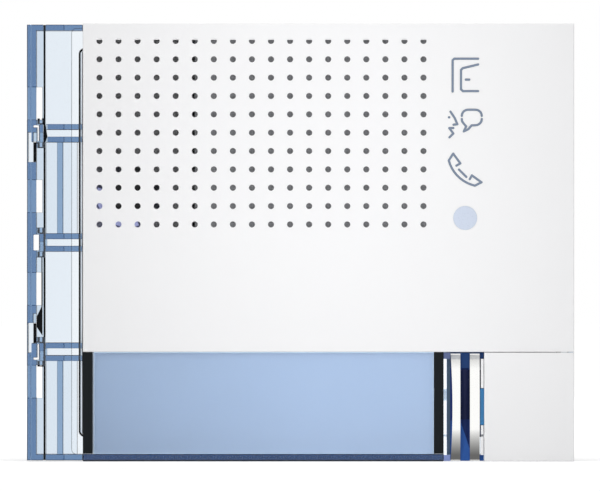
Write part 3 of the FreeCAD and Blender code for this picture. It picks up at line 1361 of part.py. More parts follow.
def rear_housing():
    """Black shell with posts for board and screws and openings for the connections."""
    outer = rounded_slab(
        UNIT_LEFT, UNIT_RIGHT, -UNIT_TOP, UNIT_TOP, HOUSING_CORNER, CHASSIS_REAR, REAR_DEPTH
    )
    outer = rounded_rear(outer, REAR_DEPTH, REAR_ROUND)
    inner = box(
        UNIT_LEFT + HOUSING_WALL, UNIT_RIGHT - HOUSING_WALL, CHASSIS_REAR, REAR_INNER,
        -UNIT_TOP + HOUSING_WALL, UNIT_TOP - HOUSING_WALL,
    )
    solids = [outer.cut(inner)] + housing_catches()
    tools = []
    for x, z in plate_screw_places():
        solids.append(rod(x, z, SCREW_POST_RADIUS, CHASSIS_REAR, REAR_INNER))
        tools.append(rod(x, z, SCREW_RADIUS + SLIDING, CHASSIS_REAR - 1, REAR_DEPTH))
        tools.append(rod(x, z, SCREW_WELL_RADIUS, SCREW_HEAD_Y, REAR_DEPTH + 1))
    for x, z in board_screw_places():
        solids.append(rod(x, z, BOARD_POST_RADIUS, BOARD_BACK, REAR_INNER))
        end = BOARD_BACK + BOARD_SCREW_LENGTH + BOARD_SCREW_END_GAP
        tools.append(rod(x, z, BOARD_SCREW_RADIUS + SNUG, BOARD_BACK - 1, end))
    for x in (-BUS_X, BUS_X):
        tools.append(socket_block(x, SLIDING, REAR_INNER - 1, REAR_DEPTH + 1))
    half = PLUG_WIDTH / 2 + HEADER_WALL + SLIDING
    reach = PLUG_HEIGHT / 2 + HEADER_WALL + SLIDING
    tools.append(box(-half, half, REAR_INNER - 1, REAR_DEPTH + 1, PLUG_Z - reach, PLUG_Z + reach))
    for x in (SPEAKER_TRIMMER_X, MIC_TRIMMER_X):
        tools.append(rod(x, TRIMMER_Z, KNOB_RADIUS + KNOB_HOLE_GAP, REAR_INNER - 1, REAR_DEPTH + 1))
    return take(join(solids), tools + housing_vents())


def housing_vents():
    """Narrow slots through the housing's top wall, above the warm parts of the board."""
    y1 = VENT_FRONT_Y + VENT_DEPTH
    z0 = UNIT_TOP - HOUSING_WALL - 1
    tools = []
    for index in range(VENT_COUNT):
        x0 = (index - (VENT_COUNT - 1) / 2) * VENT_PITCH - VENT_WIDTH / 2
        tools.append(box(x0, x0 + VENT_WIDTH, VENT_FRONT_Y, y1, z0, UNIT_TOP + 1))
    return tools


def main_board():
    """Circuit board with cut-outs round the screw posts."""
    x0 = UNIT_LEFT + HOUSING_WALL + BOARD_GAP
    x1 = UNIT_RIGHT - HOUSING_WALL - BOARD_GAP
    z1 = UNIT_TOP - HOUSING_WALL - BOARD_GAP
    board = box(x0, x1, BOARD_FRONT, BOARD_BACK, -z1, z1)
    notch = SCREW_POST_RADIUS + BOARD_POST_GAP
    tools = [rod(x, z, notch, BOARD_FRONT - 1, BOARD_BACK + 1) for x, z in plate_screw_places()]
    for x, z in board_screw_places():
        tools.append(rod(x, z, BOARD_SCREW_RADIUS + SLIDING, BOARD_FRONT - 1, BOARD_BACK + 1))
    return take(board, tools)


def screw(x, z, head_y, tip_y, shank, head_radius, head, way):
    """Pan head screw along Y; way is 1 where the head faces the rear and -1 where it faces the front."""
    low, high = sorted((head_y, tip_y))
    body = rod(x, z, shank, low, high)
    top_y = head_y + way * head
    cap_low, cap_high = sorted((head_y, top_y))
    cap = rod(x, z, head_radius, cap_low, cap_high)
    drive_low, drive_high = sorted((top_y, top_y - way * head * DRIVE_SHARE))
    half = head_radius * DRIVE_SPAN / 2
    thin = DRIVE_WIDTH / 2
    cross = [
        box(x - half, x + half, drive_low, drive_high, z - thin, z + thin),
        box(x - thin, x + thin, drive_low, drive_high, z - half, z + half),
    ]
    return take(body.fuse(cap).removeSplitter(), cross)


def housing_screws():
    """Four long screws driven from the rear."""
    screws = []
    for x, z in plate_screw_places():
        screws.append(
            screw(x, z, SCREW_HEAD_Y, SCREW_TIP, SCREW_RADIUS, SCREW_HEAD_RADIUS, SCREW_HEAD, 1)
        )
    return screws


def board_screws():
    """Four short screws that hold the board on its posts."""
    screws = []
    for x, z in board_screw_places():
        tip = BOARD_BACK + BOARD_SCREW_LENGTH
        screws.append(
            screw(x, z, BOARD_FRONT, tip, BOARD_SCREW_RADIUS, BOARD_SCREW_HEAD_RADIUS, BOARD_SCREW_HEAD, -1)
        )
    return screws


def socket_block(x, grow, y0, y1):
    """Outer block of a bus socket, grown on its four sides."""
    half_x = SOCKET_WIDTH / 2 + grow
    half_z = SOCKET_LENGTH / 2 + grow
    return box(x - half_x, x + half_x, y0, y1, BUS_Z - half_z, BUS_Z + half_z)


def bus_socket(x):
    """Shrouded socket that stands on the board and opens to the rear."""
    inside = socket_block(x, -SOCKET_WALL, SOCKET_FLOOR_Y, REAR_DEPTH + 1)
    body = socket_block(x, 0, BOARD_BACK, REAR_DEPTH).cut(inside)
    return take(body, bus_pins(x, SNUG))


def bus_pins(x, grow):
    """Contact pins of a bus socket, in one row."""
    pins = []
    for index in range(BUS_PINS):
        z = BUS_Z + (index - (BUS_PINS - 1) / 2) * BUS_PIN_PITCH
        pins.append(rod(x, z, CONTACT_RADIUS + grow, BOARD_BACK, SOCKET_FLOOR_Y + BUS_PIN_REACH))
    return pins


def plug_way_places():
    """Middle of each way of the terminal plug."""
    return [(index - (PLUG_WAYS - 1) / 2) * PLUG_PITCH for index in range(PLUG_WAYS)]


def terminal_header():
    """Header round the plug's front end."""
    half = PLUG_WIDTH / 2
    reach = PLUG_HEIGHT / 2
    body = box(
        -half - HEADER_WALL, half + HEADER_WALL, BOARD_BACK, HEADER_REAR,
        PLUG_Z - reach - HEADER_WALL, PLUG_Z + reach + HEADER_WALL,
    )
    inside = box(
        -half - SLIDING, half + SLIDING, PLUG_FRONT_Y - HEADER_FLOOR_GAP, HEADER_REAR,
        PLUG_Z - reach - SLIDING, PLUG_Z + reach + SLIDING,
    )
    return take(body, [inside] + header_pins(HEADER_PIN_RADIUS + SNUG, BOARD_BACK, HEADER_REAR))


def header_pins(radius, y0, y1):
    """Round bars where the header's pins stand, one for each way."""
    return [rod(x, PLUG_Z - WIRE_DROP, radius, y0, y1) for x in plug_way_places()]


def terminal_pins():
    """Pins of the header, one for each way."""
    return header_pins(HEADER_PIN_RADIUS, BOARD_BACK, HEADER_REAR - HEADER_PIN_SHORT)


def terminal_plug():
    """Plug with a wire entry, a screw well and a pin hole for each way."""
    half = PLUG_WIDTH / 2
    reach = PLUG_HEIGHT / 2
    rear = REAR_DEPTH + PLUG_STAND_OUT
    body = box(-half, half, PLUG_FRONT_Y, rear, PLUG_Z - reach, PLUG_Z + reach)
    tools = header_pins(HEADER_PIN_RADIUS + SLIDING, PLUG_FRONT_Y - 1, HEADER_REAR)
    wire_z = PLUG_Z - WIRE_DROP
    screw_z = PLUG_Z + PLUG_SCREW_RAISE
    side = WIRE_HOLE / 2
    for x in plug_way_places():
        tools.append(box(x - side, x + side, rear - WIRE_DEPTH, rear + 1, wire_z - side, wire_z + side))
        tools.append(rod(x, screw_z, PLUG_SCREW_RADIUS + SLIDING, rear - PLUG_SCREW_DEPTH, rear + 1))
    return take(body, tools)


def terminal_screws():
    """Clamp screws of the plug, one for each way."""
    plug_rear = REAR_DEPTH + PLUG_STAND_OUT
    tip = plug_rear - PLUG_SCREW_DEPTH
    top = plug_rear - PLUG_SCREW_SINK
    z = PLUG_Z + PLUG_SCREW_RAISE
    half = PLUG_SCREW_SLOT / 2
    screws = []
    for x in plug_way_places():
        body = rod(x, z, PLUG_SCREW_RADIUS, tip, top)
        slot = box(
            x - PLUG_SCREW_RADIUS, x + PLUG_SCREW_RADIUS, top - PLUG_SCREW_SLOT_DEPTH, top,
            z - half, z + half,
        )
        screws.append(body.cut(slot))
    return screws


def trimmer_body(x):
    """Body of one volume trimmer."""
    half = TRIMMER_SIDE / 2
    top = BOARD_BACK + TRIMMER_HEIGHT
    body = box(x - half, x + half, BOARD_BACK, top, TRIMMER_Z - half, TRIMMER_Z + half)
    return body.cut(rod(x, TRIMMER_Z, SPIGOT_RADIUS + RUNNING, top - TRIMMER_BORE, top))


def trimmer_knob(x):
    """Knob of one volume trimmer, with a spigot in the body and a slot at the rear."""
    top = BOARD_BACK + TRIMMER_HEIGHT
    rear = REAR_DEPTH - KNOB_SINK
    half = KNOB_SLOT / 2
    spigot = rod(x, TRIMMER_Z, SPIGOT_RADIUS, top - SPIGOT_LENGTH, top + SLIDING)
    knob = rod(x, TRIMMER_Z, KNOB_RADIUS, top + SLIDING, rear)
    slot = box(
        x - KNOB_RADIUS, x + KNOB_RADIUS, rear - KNOB_SLOT_DEPTH, rear, TRIMMER_Z - half, TRIMMER_Z + half
    )
    return spigot.fuse(knob).removeSplitter().cut(slot)


def audio_chip():
    """Audio processor on the rear of the board."""
    half = CHIP_SIDE / 2
    rear = BOARD_BACK + CHIP_THICK
    return box(CHIP_X - half, CHIP_X + half, BOARD_BACK, rear, CHIP_Z - half, CHIP_Z + half)


def power_capacitors():
    """Two round capacitors on the rear of the board."""
    rear = REAR_INNER - CAPACITOR_END_GAP
    first = -BUS_X + SOCKET_WIDTH / 2 + CAPACITOR_FROM_SOCKET + CAPACITOR_RADIUS
    places = (first, first + CAPACITOR_PITCH)
    return [rod(x, CAPACITOR_Z, CAPACITOR_RADIUS, BOARD_BACK, rear) for x in places]


def line_transformer():
    """Line transformer: core block with a bobbin that stands out on both sides."""
    rear = BOARD_BACK + CORE_DEPTH
    half = CORE_WIDTH / 2
    low = TRANSFORMER_Z - CORE_HEIGHT / 2
    core = box(-half, half, BOARD_BACK, rear, low, low + CORE_HEIGHT)
    half = BOBBIN_WIDTH / 2
    low = TRANSFORMER_Z - BOBBIN_HEIGHT / 2
    bobbin = box(-half, half, BOARD_BACK + BOBBIN_INSET, rear - BOBBIN_INSET, low, low + BOBBIN_HEIGHT)
    return core.fuse(bobbin).removeSplitter()


def all_nodes():
    """Every named piece and its solid or group of solids."""
    return {
        "carrier_frame": [carrier_frame()],
        "opening_seal": [opening_seal()],
        "latch_strip": [latch_strip()],
        "detent_spring": [detent_spring()],
        "front_plate": [front_plate()],
        "door_pictogram": icon_guide(door_lines()),
        "talk_pictogram": icon_guide(talk_lines()),
        "handset_pictogram": icon_guide(call_lines()),
        "icon_diffuser": [icon_diffuser()],
        "sensor_lens": [sensor_lens()],
        "light_pipes": light_pipes(),
        "status_leds": status_leds(),
        "acoustic_mesh": [acoustic_mesh()],
        "speaker_gasket": [speaker_gasket()],
        "speaker_basket": [speaker_basket()],
        "speaker_magnet": [speaker_magnet()],
        "speaker_cone": [speaker_cone()],
        "speaker_surround": [speaker_surround()],
        "speaker_contacts": speaker_contacts(),
        "mic_boot": [mic_boot()],
        "mic_capsule": [mic_capsule()],
        "mic_contacts": mic_contacts(),
        "mic_collar": [mic_collar()],
        "label_window": [label_window()],
        "label_lip": [label_lip()],
        "label_end_left": [label_end_bar(PLATE_LEFT)],
        "label_end_right": [
            label_end_bar(WINDOW_RIGHT + SNUG).cut(tongue_room(WINDOW_BACK - TONGUE_THICK - SLIDING))
        ],
        "label_card": [label_card()],
        "label_diffuser": [label_diffuser()],
        "label_tray": [label_tray()],
        "label_leds": label_leds(),
        "button_cap": [button_cap()],
        "button_light": [button_light()],
        "button_lever": [button_lever()],
        "hinge_pin": [hinge_pin()],
        "spring_clip": spring_legs(),
        "clip_holder": [clip_holder()],
        "holder_base": [holder_base()],
        "switch_body": [switch_body()],
        "switch_plunger": [switch_plunger()],
        "inner_chassis": [inner_chassis()],
        "rear_housing": [rear_housing()],
        "main_board": [main_board()],
        "housing_screws": housing_screws(),
        "board_screws": board_screws(),
        "bus_socket_left": [bus_socket(-BUS_X)],
        "bus_socket_right": [bus_socket(BUS_X)],
        "bus_pins": bus_pins(-BUS_X, 0) + bus_pins(BUS_X, 0),
        "terminal_header": [terminal_header()],
        "terminal_pins": terminal_pins(),
        "terminal_plug": [terminal_plug()],
        "terminal_screws": terminal_screws(),
        "speaker_trimmer": [trimmer_body(SPEAKER_TRIMMER_X)],
        "speaker_trimmer_knob": [trimmer_knob(SPEAKER_TRIMMER_X)],
        "mic_trimmer": [trimmer_body(MIC_TRIMMER_X)],
        "mic_trimmer_knob": [trimmer_knob(MIC_TRIMMER_X)],
        "audio_chip": [audio_chip()],
        "power_capacitors": power_capacitors(),
        "line_transformer": [line_transformer()],
    }


os.makedirs("parts", exist_ok=True)
for node, solids in all_nodes().items():
    for solid in solids:
        if len(solid.Solids) != 1 or not solid.isValid():
            print("look at", node, len(solid.Solids), solid.isValid())
    shape = solids[0] if len(solids) == 1 else Part.makeCompound(solids)
    shape.exportStep("parts/" + node + ".step")
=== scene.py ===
"""Looks of the door intercom module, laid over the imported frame."""

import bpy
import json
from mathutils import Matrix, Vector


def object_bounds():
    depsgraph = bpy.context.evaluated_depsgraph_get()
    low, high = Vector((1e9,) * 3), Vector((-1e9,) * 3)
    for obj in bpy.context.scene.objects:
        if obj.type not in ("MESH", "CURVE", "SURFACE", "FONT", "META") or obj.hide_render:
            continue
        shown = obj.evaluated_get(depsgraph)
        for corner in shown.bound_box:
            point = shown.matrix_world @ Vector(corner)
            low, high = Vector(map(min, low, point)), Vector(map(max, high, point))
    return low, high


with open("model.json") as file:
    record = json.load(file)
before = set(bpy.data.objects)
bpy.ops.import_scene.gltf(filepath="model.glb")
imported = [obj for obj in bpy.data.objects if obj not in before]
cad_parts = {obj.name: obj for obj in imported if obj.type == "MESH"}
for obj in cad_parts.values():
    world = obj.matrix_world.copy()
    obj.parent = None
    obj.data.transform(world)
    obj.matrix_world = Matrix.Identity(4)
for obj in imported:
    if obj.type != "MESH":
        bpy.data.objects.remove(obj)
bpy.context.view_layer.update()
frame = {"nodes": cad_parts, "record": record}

import json
import math

import bpy
from mathutils import Vector

nodes = frame["nodes"]
MM = 0.001
WHITE = (1.0, 1.0, 1.0, 1.0)
BLACK = (0.0, 0.0, 0.0, 1.0)

# Picture: 600 by 491 points, with a long lens so that the view is nearly parallel
LENS = 1000.0
SENSOR = 36.0
FRAME_WIDTH = 126.06 * MM
VIEW_X = -0.1 * MM
VIEW_Z = -0.63 * MM
PLATE_Y = -10.0 * MM

# Places where a colour, a painted light or a painted shade changes, in millimetres
HOLDER_EDGE = 31.5
BASE_EDGE = -4.5
CHASSIS_EDGE = -46.07
CHASSIS_FADE = 0.1
GROOVE_X = -56.73
GROOVE_REACH = 0.22
CARD_DIM_X = -43.0
CARD_LIT_X = 4.0
HOLDER_DIM_Z = -26.5
HOLDER_LIT_Z = -28.5

# Painted light: own light on the chassis and the card that stands for light coming through clear plastic; and
# the share of painted shade on the holder's upper part
CHASSIS_GLOW = 0.45
CARD_DIM_GLOW = 0.065
CARD_LIT_GLOW = 0.22
HOLDER_SHADE = 0.52

# Surfaces. A scale is the number of clouds or grains per metre, and a relief is in millimetres.
# A wave texture of scale 1 has bands BAND_LENGTH metres apart.
CLOUD_SCALE = 90.0
GRAIN_SCALE = 3000.0
CLEAR_SCALE = 1400.0
METAL_CLOUD_SCALE = 400.0
SCRATCH_SCALE = 2500.0
RICH_DETAIL = 3.0
NOISE_LOW = 0.3
NOISE_HIGH = 0.7
CLEAR_INDEX = 1.58
CLEAR_VARY = 0.2
DENSITY_MARGIN = 1.2
TONE_STEP = 0.05
BAND_LENGTH = 0.31416
THREAD_PITCH = 0.32 * MM
THREAD_RELIEF = 0.05
THREAD_SHADE = 0.65

# Fine chamfers of the clear plastic
CARRIER_CHAMFER = 0.045 * MM
WINDOW_CHAMFER = 0.1 * MM
CHAMFER_ANGLE = math.radians(30)
WELD_REACH = 0.001 * MM

# Floor and sky
FLOOR_SIZE = 12.0
FLOOR_DROP = 0.01 * MM
FLOOR_COLOUR = (0.82, 0.82, 0.82, 1.0)
GLOW_NEAR = 0.1
GLOW_FAR = 1.5
GLOW_LOW = 0.47
GLOW_HIGH = 0.72
MIRROR_NEAR = 0.0095
MIRROR_FAR = 0.03
MIRROR_LOW = 0.14
AMBIENT = 0.36
SKY_RISE = 0.5
SKY_TOP = 0.68
SKY_LOW = 0.55

# Front lamp, a tall narrow box close to the plate. Its lower half is brighter by LAMP_RISE, which fades out
# between two shares of its height.
FRONT_X = 7 * MM
FRONT_AWAY = 0.092
FRONT_WIDTH = 0.15
FRONT_HEIGHT = 1.2
FRONT_LEVEL = 1.06
LAMP_LOW = 0.46
LAMP_HIGH = 0.56
LAMP_RISE = 0.7

# Lamps around the part, aimed at its middle: name, place, width, height and brightness
ROOM_LAMPS = (
    ("top_box", (0, -0.1, 0.9), 1.2, 0.9, 0.86),
    ("rear_box", (0.3, 1.2, 0.5), 1.2, 0.9, 1.4),
    ("left_box", (-1.2, -0.2, 0.3), 0.8, 0.8, 0.6),
    ("right_box", (1.2, -0.2, 0.3), 0.8, 0.8, 0.15),
)

# Pieces with a look of their own instead of their slot's
OWN_LOOKS = {
    "label_window": "window_plastic",
    "label_lip": "lip_plastic",
    "label_tray": "tray_plastic",
    "clip_holder": "holder_plastic",
    "holder_base": "base_plastic",
    "inner_chassis": "chassis_plastic",
    "mic_collar": "collar_plastic",
    "button_lever": "navy_plastic",
    "hinge_pin": "pin_painted_light",
    "opening_seal": "seal_rubber",
    "latch_strip": "latch_plastic",
    "detent_spring": "latch_plastic",
}

materials = {}


# Shader nodes

def srgb(red, green, blue):
    """Linear colour from values between 0 and 255."""
    channels = []
    for value in (red, green, blue):
        share = value / 255
        channels.append(share / 12.92 if share <= 0.04045 else ((share + 0.055) / 1.055) ** 2.4)
    return (*channels, 1.0)


def shaded(colour, share):
    """The colour made darker by a share."""
    return (*[channel * (1 - share) for channel in colour[:3]], 1.0)


def feed(tree, socket, value):
    """Gives an input a plain value, or links it to the output of another node."""
    if isinstance(value, bpy.types.NodeSocket):
        tree.links.new(value, socket)
    else:
        socket.default_value = value


def add(tree, kind, inputs=None, **settings):
    """A new shader node with its settings; its inputs are given by name or by number."""
    node = tree.nodes.new(kind)
    for key, value in settings.items():
        setattr(node, key, value)
    for key, value in (inputs or {}).items():
        feed(tree, node.inputs[key], value)
    return node


def reckon(tree, operation, *values):
    """The outcome of one operation on plain values or outputs of nodes."""
    return add(tree, "ShaderNodeMath", dict(enumerate(values)), operation=operation).outputs["Value"]


def spread(tree, value, start, end, first, last):
    """Goes from the first to the last while the value goes from start to end."""
    limits = {"Value": value, "From Min": start, "From Max": end, "To Min": first, "To Max": last}
    return add(tree, "ShaderNodeMapRange", limits).outputs["Result"]


def own_place(tree):
    """The place on a piece in its own coordinates."""
    return add(tree, "ShaderNodeTexCoord").outputs["Object"]


def coordinate(tree, place, axis):
    """One coordinate of a place."""
    return add(tree, "ShaderNodeSeparateXYZ", {"Vector": place}).outputs[axis]


def spread_along(tree, axis, start, end, first, last):
    """Goes from the first to the last between two places along one axis, in millimetres."""
    return spread(tree, coordinate(tree, own_place(tree), axis), start * MM, end * MM, first, last)


def noise(tree, scale, detail=2.0):
    """Noise over a piece, as a value from 0 to 1."""
    inputs = {"Vector": own_place(tree), "Scale": scale, "Detail": detail}
    return add(tree, "ShaderNodeTexNoise", inputs).outputs["Fac"]


def mixed(tree, share, one, other):
    """A colour between two, by a share."""
    node = add(tree, "ShaderNodeMix", {0: share}, data_type="RGBA")
    ends = [socket for socket in node.inputs if socket.type == "RGBA"]
    feed(tree, ends[0], one)
    feed(tree, ends[1], other)
    return [socket for socket in node.outputs if socket.type == "RGBA"][0]


def emptied(owner):
    """The shader tree of a material or world, with nothing in it."""
    owner.use_nodes = True
    owner.node_tree.nodes.clear()
    return owner.node_tree


# Materials

def blank(name, inputs):
    """A new material with one principled surface: its tree, its surface and its output."""
    materials[name] = bpy.data.materials.new(name)
    tree = emptied(materials[name])
    surface = add(tree, "ShaderNodeBsdfPrincipled", inputs)
    out = add(tree, "ShaderNodeOutputMaterial", {"Surface": surface.outputs["BSDF"]})
    return tree, surface, out


def roughened(tree, surface, value, low, high):
    """Lets the roughness follow a noise between two limits."""
    feed(tree, surface.inputs["Roughness"], spread(tree, value, NOISE_LOW, NOISE_HIGH, low, high))


def bumped(tree, surface, height, relief):
    """Surface relief from a height value."""
    bump = add(tree, "ShaderNodeBump", {"Height": height, "Strength": 1.0, "Distance": relief * MM})
    feed(tree, surface.inputs["Normal"], bump.outputs["Normal"])


def clouded(tree, surface, cloud, colour, shade):
    """Soft clouds of a darker shade in the colour."""
    feed(tree, surface.inputs["Base Color"], mixed(tree, cloud, colour, shaded(colour, shade)))


def grained(tree, surface, grain, rough, vary, relief):
    """Fine grain in the gloss and in the surface."""
    roughened(tree, surface, grain, rough - vary, rough + vary)
    bumped(tree, surface, grain, relief)


def moulded(
    name, colour, rough, vary=0.05, scale=GRAIN_SCALE, relief=0.004, shade=0.03, gloss=0.5, glow=WHITE,
    glow_level=0.0,
):
    """Moulded plastic, clouded and grained, with a gloss and a painted light of its own where it needs them.
    """
    tree, surface, _ = blank(name, {
        "Specular IOR Level": gloss, "Emission Color": glow, "Emission Strength": glow_level,
    })
    clouded(tree, surface, noise(tree, CLOUD_SCALE, RICH_DETAIL), colour, shade)
    grained(tree, surface, noise(tree, scale), rough, vary, relief)


def two_tone(
    name, one, other, axis, edge, rough=0.45, vary=0.03, relief=0.003, gloss=0.15, glow_level=0.0,
):
    """Moulded plastic that changes its colour at a place along one axis, in millimetres, and glows in that
    colour at glow_level as painted light.
    """
    tree, surface, _ = blank(name, {"Specular IOR Level": gloss, "Emission Strength": glow_level})
    tint = mixed(tree, spread_along(tree, axis, edge - TONE_STEP, edge + TONE_STEP, 0.0, 1.0), one, other)
    feed(tree, surface.inputs["Base Color"], tint)
    feed(tree, surface.inputs["Emission Color"], tint)
    grained(tree, surface, noise(tree, GRAIN_SCALE), rough, vary, relief)


def clear(name, taken, rough=0.03):
    """See-through plastic; taken is the red, green and blue light that it takes away per metre."""
    tree, surface, out = blank(name, {"Base Color": WHITE, "Transmission Weight": 1.0, "IOR": CLEAR_INDEX})
    vary = rough * CLEAR_VARY
    roughened(tree, surface, noise(tree, CLEAR_SCALE), rough - vary, rough + vary)
    density = max(taken) * DENSITY_MARGIN
    kept = [1 - share / density for share in taken]
    volume = add(tree, "ShaderNodeVolumeAbsorption", {"Color": (*kept, 1.0), "Density": density})
    feed(tree, out.inputs["Volume"], volume.outputs["Volume"])


def metal(name, colour, rough, vary=0.04, relief=0.001, shade=0.06):
    """Metal with faint clouds and fine marks."""
    tree, surface, _ = blank(name, {"Metallic": 1.0})
    clouded(tree, surface, noise(tree, METAL_CLOUD_SCALE, RICH_DETAIL), colour, shade)
    grained(tree, surface, noise(tree, SCRATCH_SCALE, RICH_DETAIL), rough, vary, relief)


def woven(name, colour, rough=0.85, sheen=0.3):
    """Woven cloth: two sets of threads across each other."""
    tree, surface, _ = blank(name, {"Roughness": rough, "Sheen Weight": sheen})
    threads = []
    for direction in ("X", "Z"):
        inputs = {"Vector": own_place(tree), "Scale": BAND_LENGTH / THREAD_PITCH}
        wave = add(tree, "ShaderNodeTexWave", inputs, wave_type="BANDS", bands_direction=direction)
        threads.append(wave.outputs["Fac"])
    height = reckon(tree, "MAXIMUM", *threads)
    feed(tree, surface.inputs["Base Color"], mixed(tree, height, shaded(colour, THREAD_SHADE), colour))
    bumped(tree, surface, height, THREAD_RELIEF)


def parts_of(name):
    """The tree and the surface of a material that is made already."""
    tree = materials[name].node_tree
    return tree, [node for node in tree.nodes if node.type == "BSDF_PRINCIPLED"][0]


def recolour(tree, surface, socket, share, colour):
    """Mixes a colour into one that an input has already."""
    tint = surface.inputs[socket].links[0].from_socket
    feed(tree, surface.inputs[socket], mixed(tree, share, tint, colour))


def lit_along(name, axis, start, end, first, last):
    """Painted light: own light that changes between two places, standing for light that comes through clear
    plastic.
    """
    tree, surface = parts_of(name)
    feed(tree, surface.inputs["Emission Strength"], spread_along(tree, axis, start, end, first, last))


def dimmed_above(name, dim, lit, share):
    """Painted shade: darkens a material's colour and own light by a share from one height up, and not at all
    below another.
    """
    tree, surface = parts_of(name)
    level = spread_along(tree, "Z", lit, dim, 0.0, share)
    for socket in ("Base Color", "Emission Color"):
        recolour(tree, surface, socket, level, BLACK)


def coloured_near(name, axis, middle, reach, colour):
    """Changes a material's colour within a short reach of a place along one axis, in millimetres."""
    tree, surface = parts_of(name)
    near = reckon(tree, "COMPARE", coordinate(tree, own_place(tree), axis), middle * MM, reach * MM)
    recolour(tree, surface, "Base Color", near, colour)


collar_violet = srgb(160, 166, 206)
pin_blue = srgb(30, 44, 88)
white_paint = srgb(246, 246, 247)

clear("blue_plastic", (294.0, 203.0, 119.0))
clear("lip_plastic", (570.0, 360.0, 222.0))
clear("window_plastic", (205.0, 133.0, 55.0), rough=0.02)
clear("clear_plastic", (3.0, 2.4, 1.5))

# Painted light: the holder glows faintly in its own colours, against the shade between the legs
two_tone("holder_plastic", srgb(128, 144, 196), srgb(44, 88, 160), "X", HOLDER_EDGE, glow_level=0.12)
# Painted light: the collar glows in its own colour
two_tone("collar_plastic", collar_violet, collar_violet, "X", 0.0, glow_level=0.25)
# Painted light: the base glows in its own two colours, against the deep shade it lies in
two_tone("base_plastic", srgb(70, 88, 106), srgb(46, 66, 128), "Y", BASE_EDGE, glow_level=0.4)
# Painted light: left of the plate's edge the chassis is tinted pale blue and glows, standing for light that
# comes through the clear carrier
two_tone("chassis_plastic", srgb(226, 236, 246), srgb(228, 229, 231), "X", CHASSIS_EDGE)

moulded("white_plastic", white_paint, 0.42, shade=0.01)
# Painted light: the tray glows pale blue against the shade deep inside the label
moulded("tray_plastic", white_paint, 0.42, glow=srgb(214, 234, 250), glow_level=0.3)
moulded("dark_plastic", srgb(14, 20, 24), 0.3, vary=0.02, gloss=0.15)
moulded("latch_plastic", srgb(12, 14, 18), 0.45, vary=0.02, gloss=0.1)
moulded("navy_plastic", srgb(38, 44, 82), 0.45, vary=0.02, gloss=0.1)
# Painted light: the hinge pin glows in its own navy colour against the shade it lies in
moulded("pin_painted_light", pin_blue, 0.5, gloss=0.1, glow=pin_blue, glow_level=0.5)
moulded("black_plastic", srgb(40, 41, 44), 0.55, scale=1800.0, relief=0.02)
moulded("grey_plastic", srgb(148, 150, 154), 0.5)
moulded("milky_plastic", srgb(240, 243, 248), 0.4)
moulded("pictogram_plastic", srgb(124, 139, 160), 0.25)
moulded("lens_plastic", srgb(208, 218, 236), 0.3)
moulded("light_blue_guide", srgb(34, 122, 180), 0.2)
moulded("board_green", srgb(24, 92, 58), 0.35, scale=900.0, shade=0.2)
moulded("terminal_green", srgb(58, 140, 78), 0.4)
moulded("rubber", srgb(24, 25, 27), 0.65, relief=0.01)
moulded("seal_rubber", srgb(6, 12, 17), 0.7, relief=0.01, gloss=0.05)
moulded("foam", srgb(58, 59, 62), 0.95, scale=1500.0, relief=0.15, shade=0.4)
moulded("cone_paper", srgb(52, 53, 56), 0.9, scale=1200.0, relief=0.05, shade=0.3)
# Painted light: the card's own pale blue light stands for lamp light reaching it through the window
moulded("card", srgb(246, 248, 251), 0.85, scale=2500.0, relief=0.01, glow=srgb(226, 234, 252))
woven("mesh_cloth", srgb(150, 151, 154))

metal("spring_chrome", srgb(254, 254, 252), 0.09, shade=0.02)
metal("steel", srgb(196, 198, 202), 0.3)
metal("magnet", srgb(92, 93, 97), 0.45)
metal("contact_brass", srgb(222, 186, 110), 0.25)

# The chamfers' materials: painted dark edges for the clear plastic, and a painted pale light line along the
# window's edges
moulded("edge_blue", srgb(8, 20, 46), 0.4, vary=0.02, gloss=0.05)
moulded("edge_pale", srgb(216, 232, 244), 0.4, vary=0.02, gloss=0.2, glow=srgb(190, 218, 242), glow_level=0.4)

# Painted light: the chassis glows left of the plate's edge
lit_along("chassis_plastic", "X", CHASSIS_EDGE, CHASSIS_EDGE + CHASSIS_FADE, CHASSIS_GLOW, 0.0)
# Painted light on the card, rising from left to right towards the front lamp
lit_along("card", "X", CARD_DIM_X, CARD_LIT_X, CARD_DIM_GLOW, CARD_LIT_GLOW)
# Painted shade: the holder's upper part, below the plate, is darkened
dimmed_above("holder_plastic", HOLDER_DIM_Z, HOLDER_LIT_Z, HOLDER_SHADE)
# Painted light: a pale blue stripe on the carrier's dark chamfers along the outer wall's groove
coloured_near("edge_blue", "X", GROOVE_X, GROOVE_REACH, srgb(132, 168, 214))

# Each piece gets its own look or that of its slot
for entry in frame["record"]["subparts"]:
    looks = nodes[entry["node"]].data.materials
    looks.clear()
    looks.append(materials[OWN_LOOKS.get(entry["node"], entry["material_slot"])])


def edged(node, width, look):
    """Gives a node fine chamfers in a material of their own, the look, which paints onto them the shade and
    light that the edges of clear plastic refract.
    """
    piece = nodes[node]
    piece.data.materials.append(materials[look])
    weld = piece.modifiers.new("weld", "WELD")
    weld.merge_threshold = WELD_REACH
    chamfer = piece.modifiers.new("chamfer", "BEVEL")
    chamfer.width = width
    chamfer.segments = 1
    chamfer.limit_method = "ANGLE"
    chamfer.angle_limit = CHAMFER_ANGLE
    chamfer.use_clamp_overlap = False
    chamfer.loop_slide = False
    chamfer.material = len(piece.data.materials) - 1


# Painted shade on the edges of the carrier and the lip, painted light on the window's edges
edged("carrier_frame", CARRIER_CHAMFER, "edge_blue")
edged("label_lip", WINDOW_CHAMFER, "edge_blue")
edged("label_window", WINDOW_CHAMFER, "edge_pale")


# Floor and sky

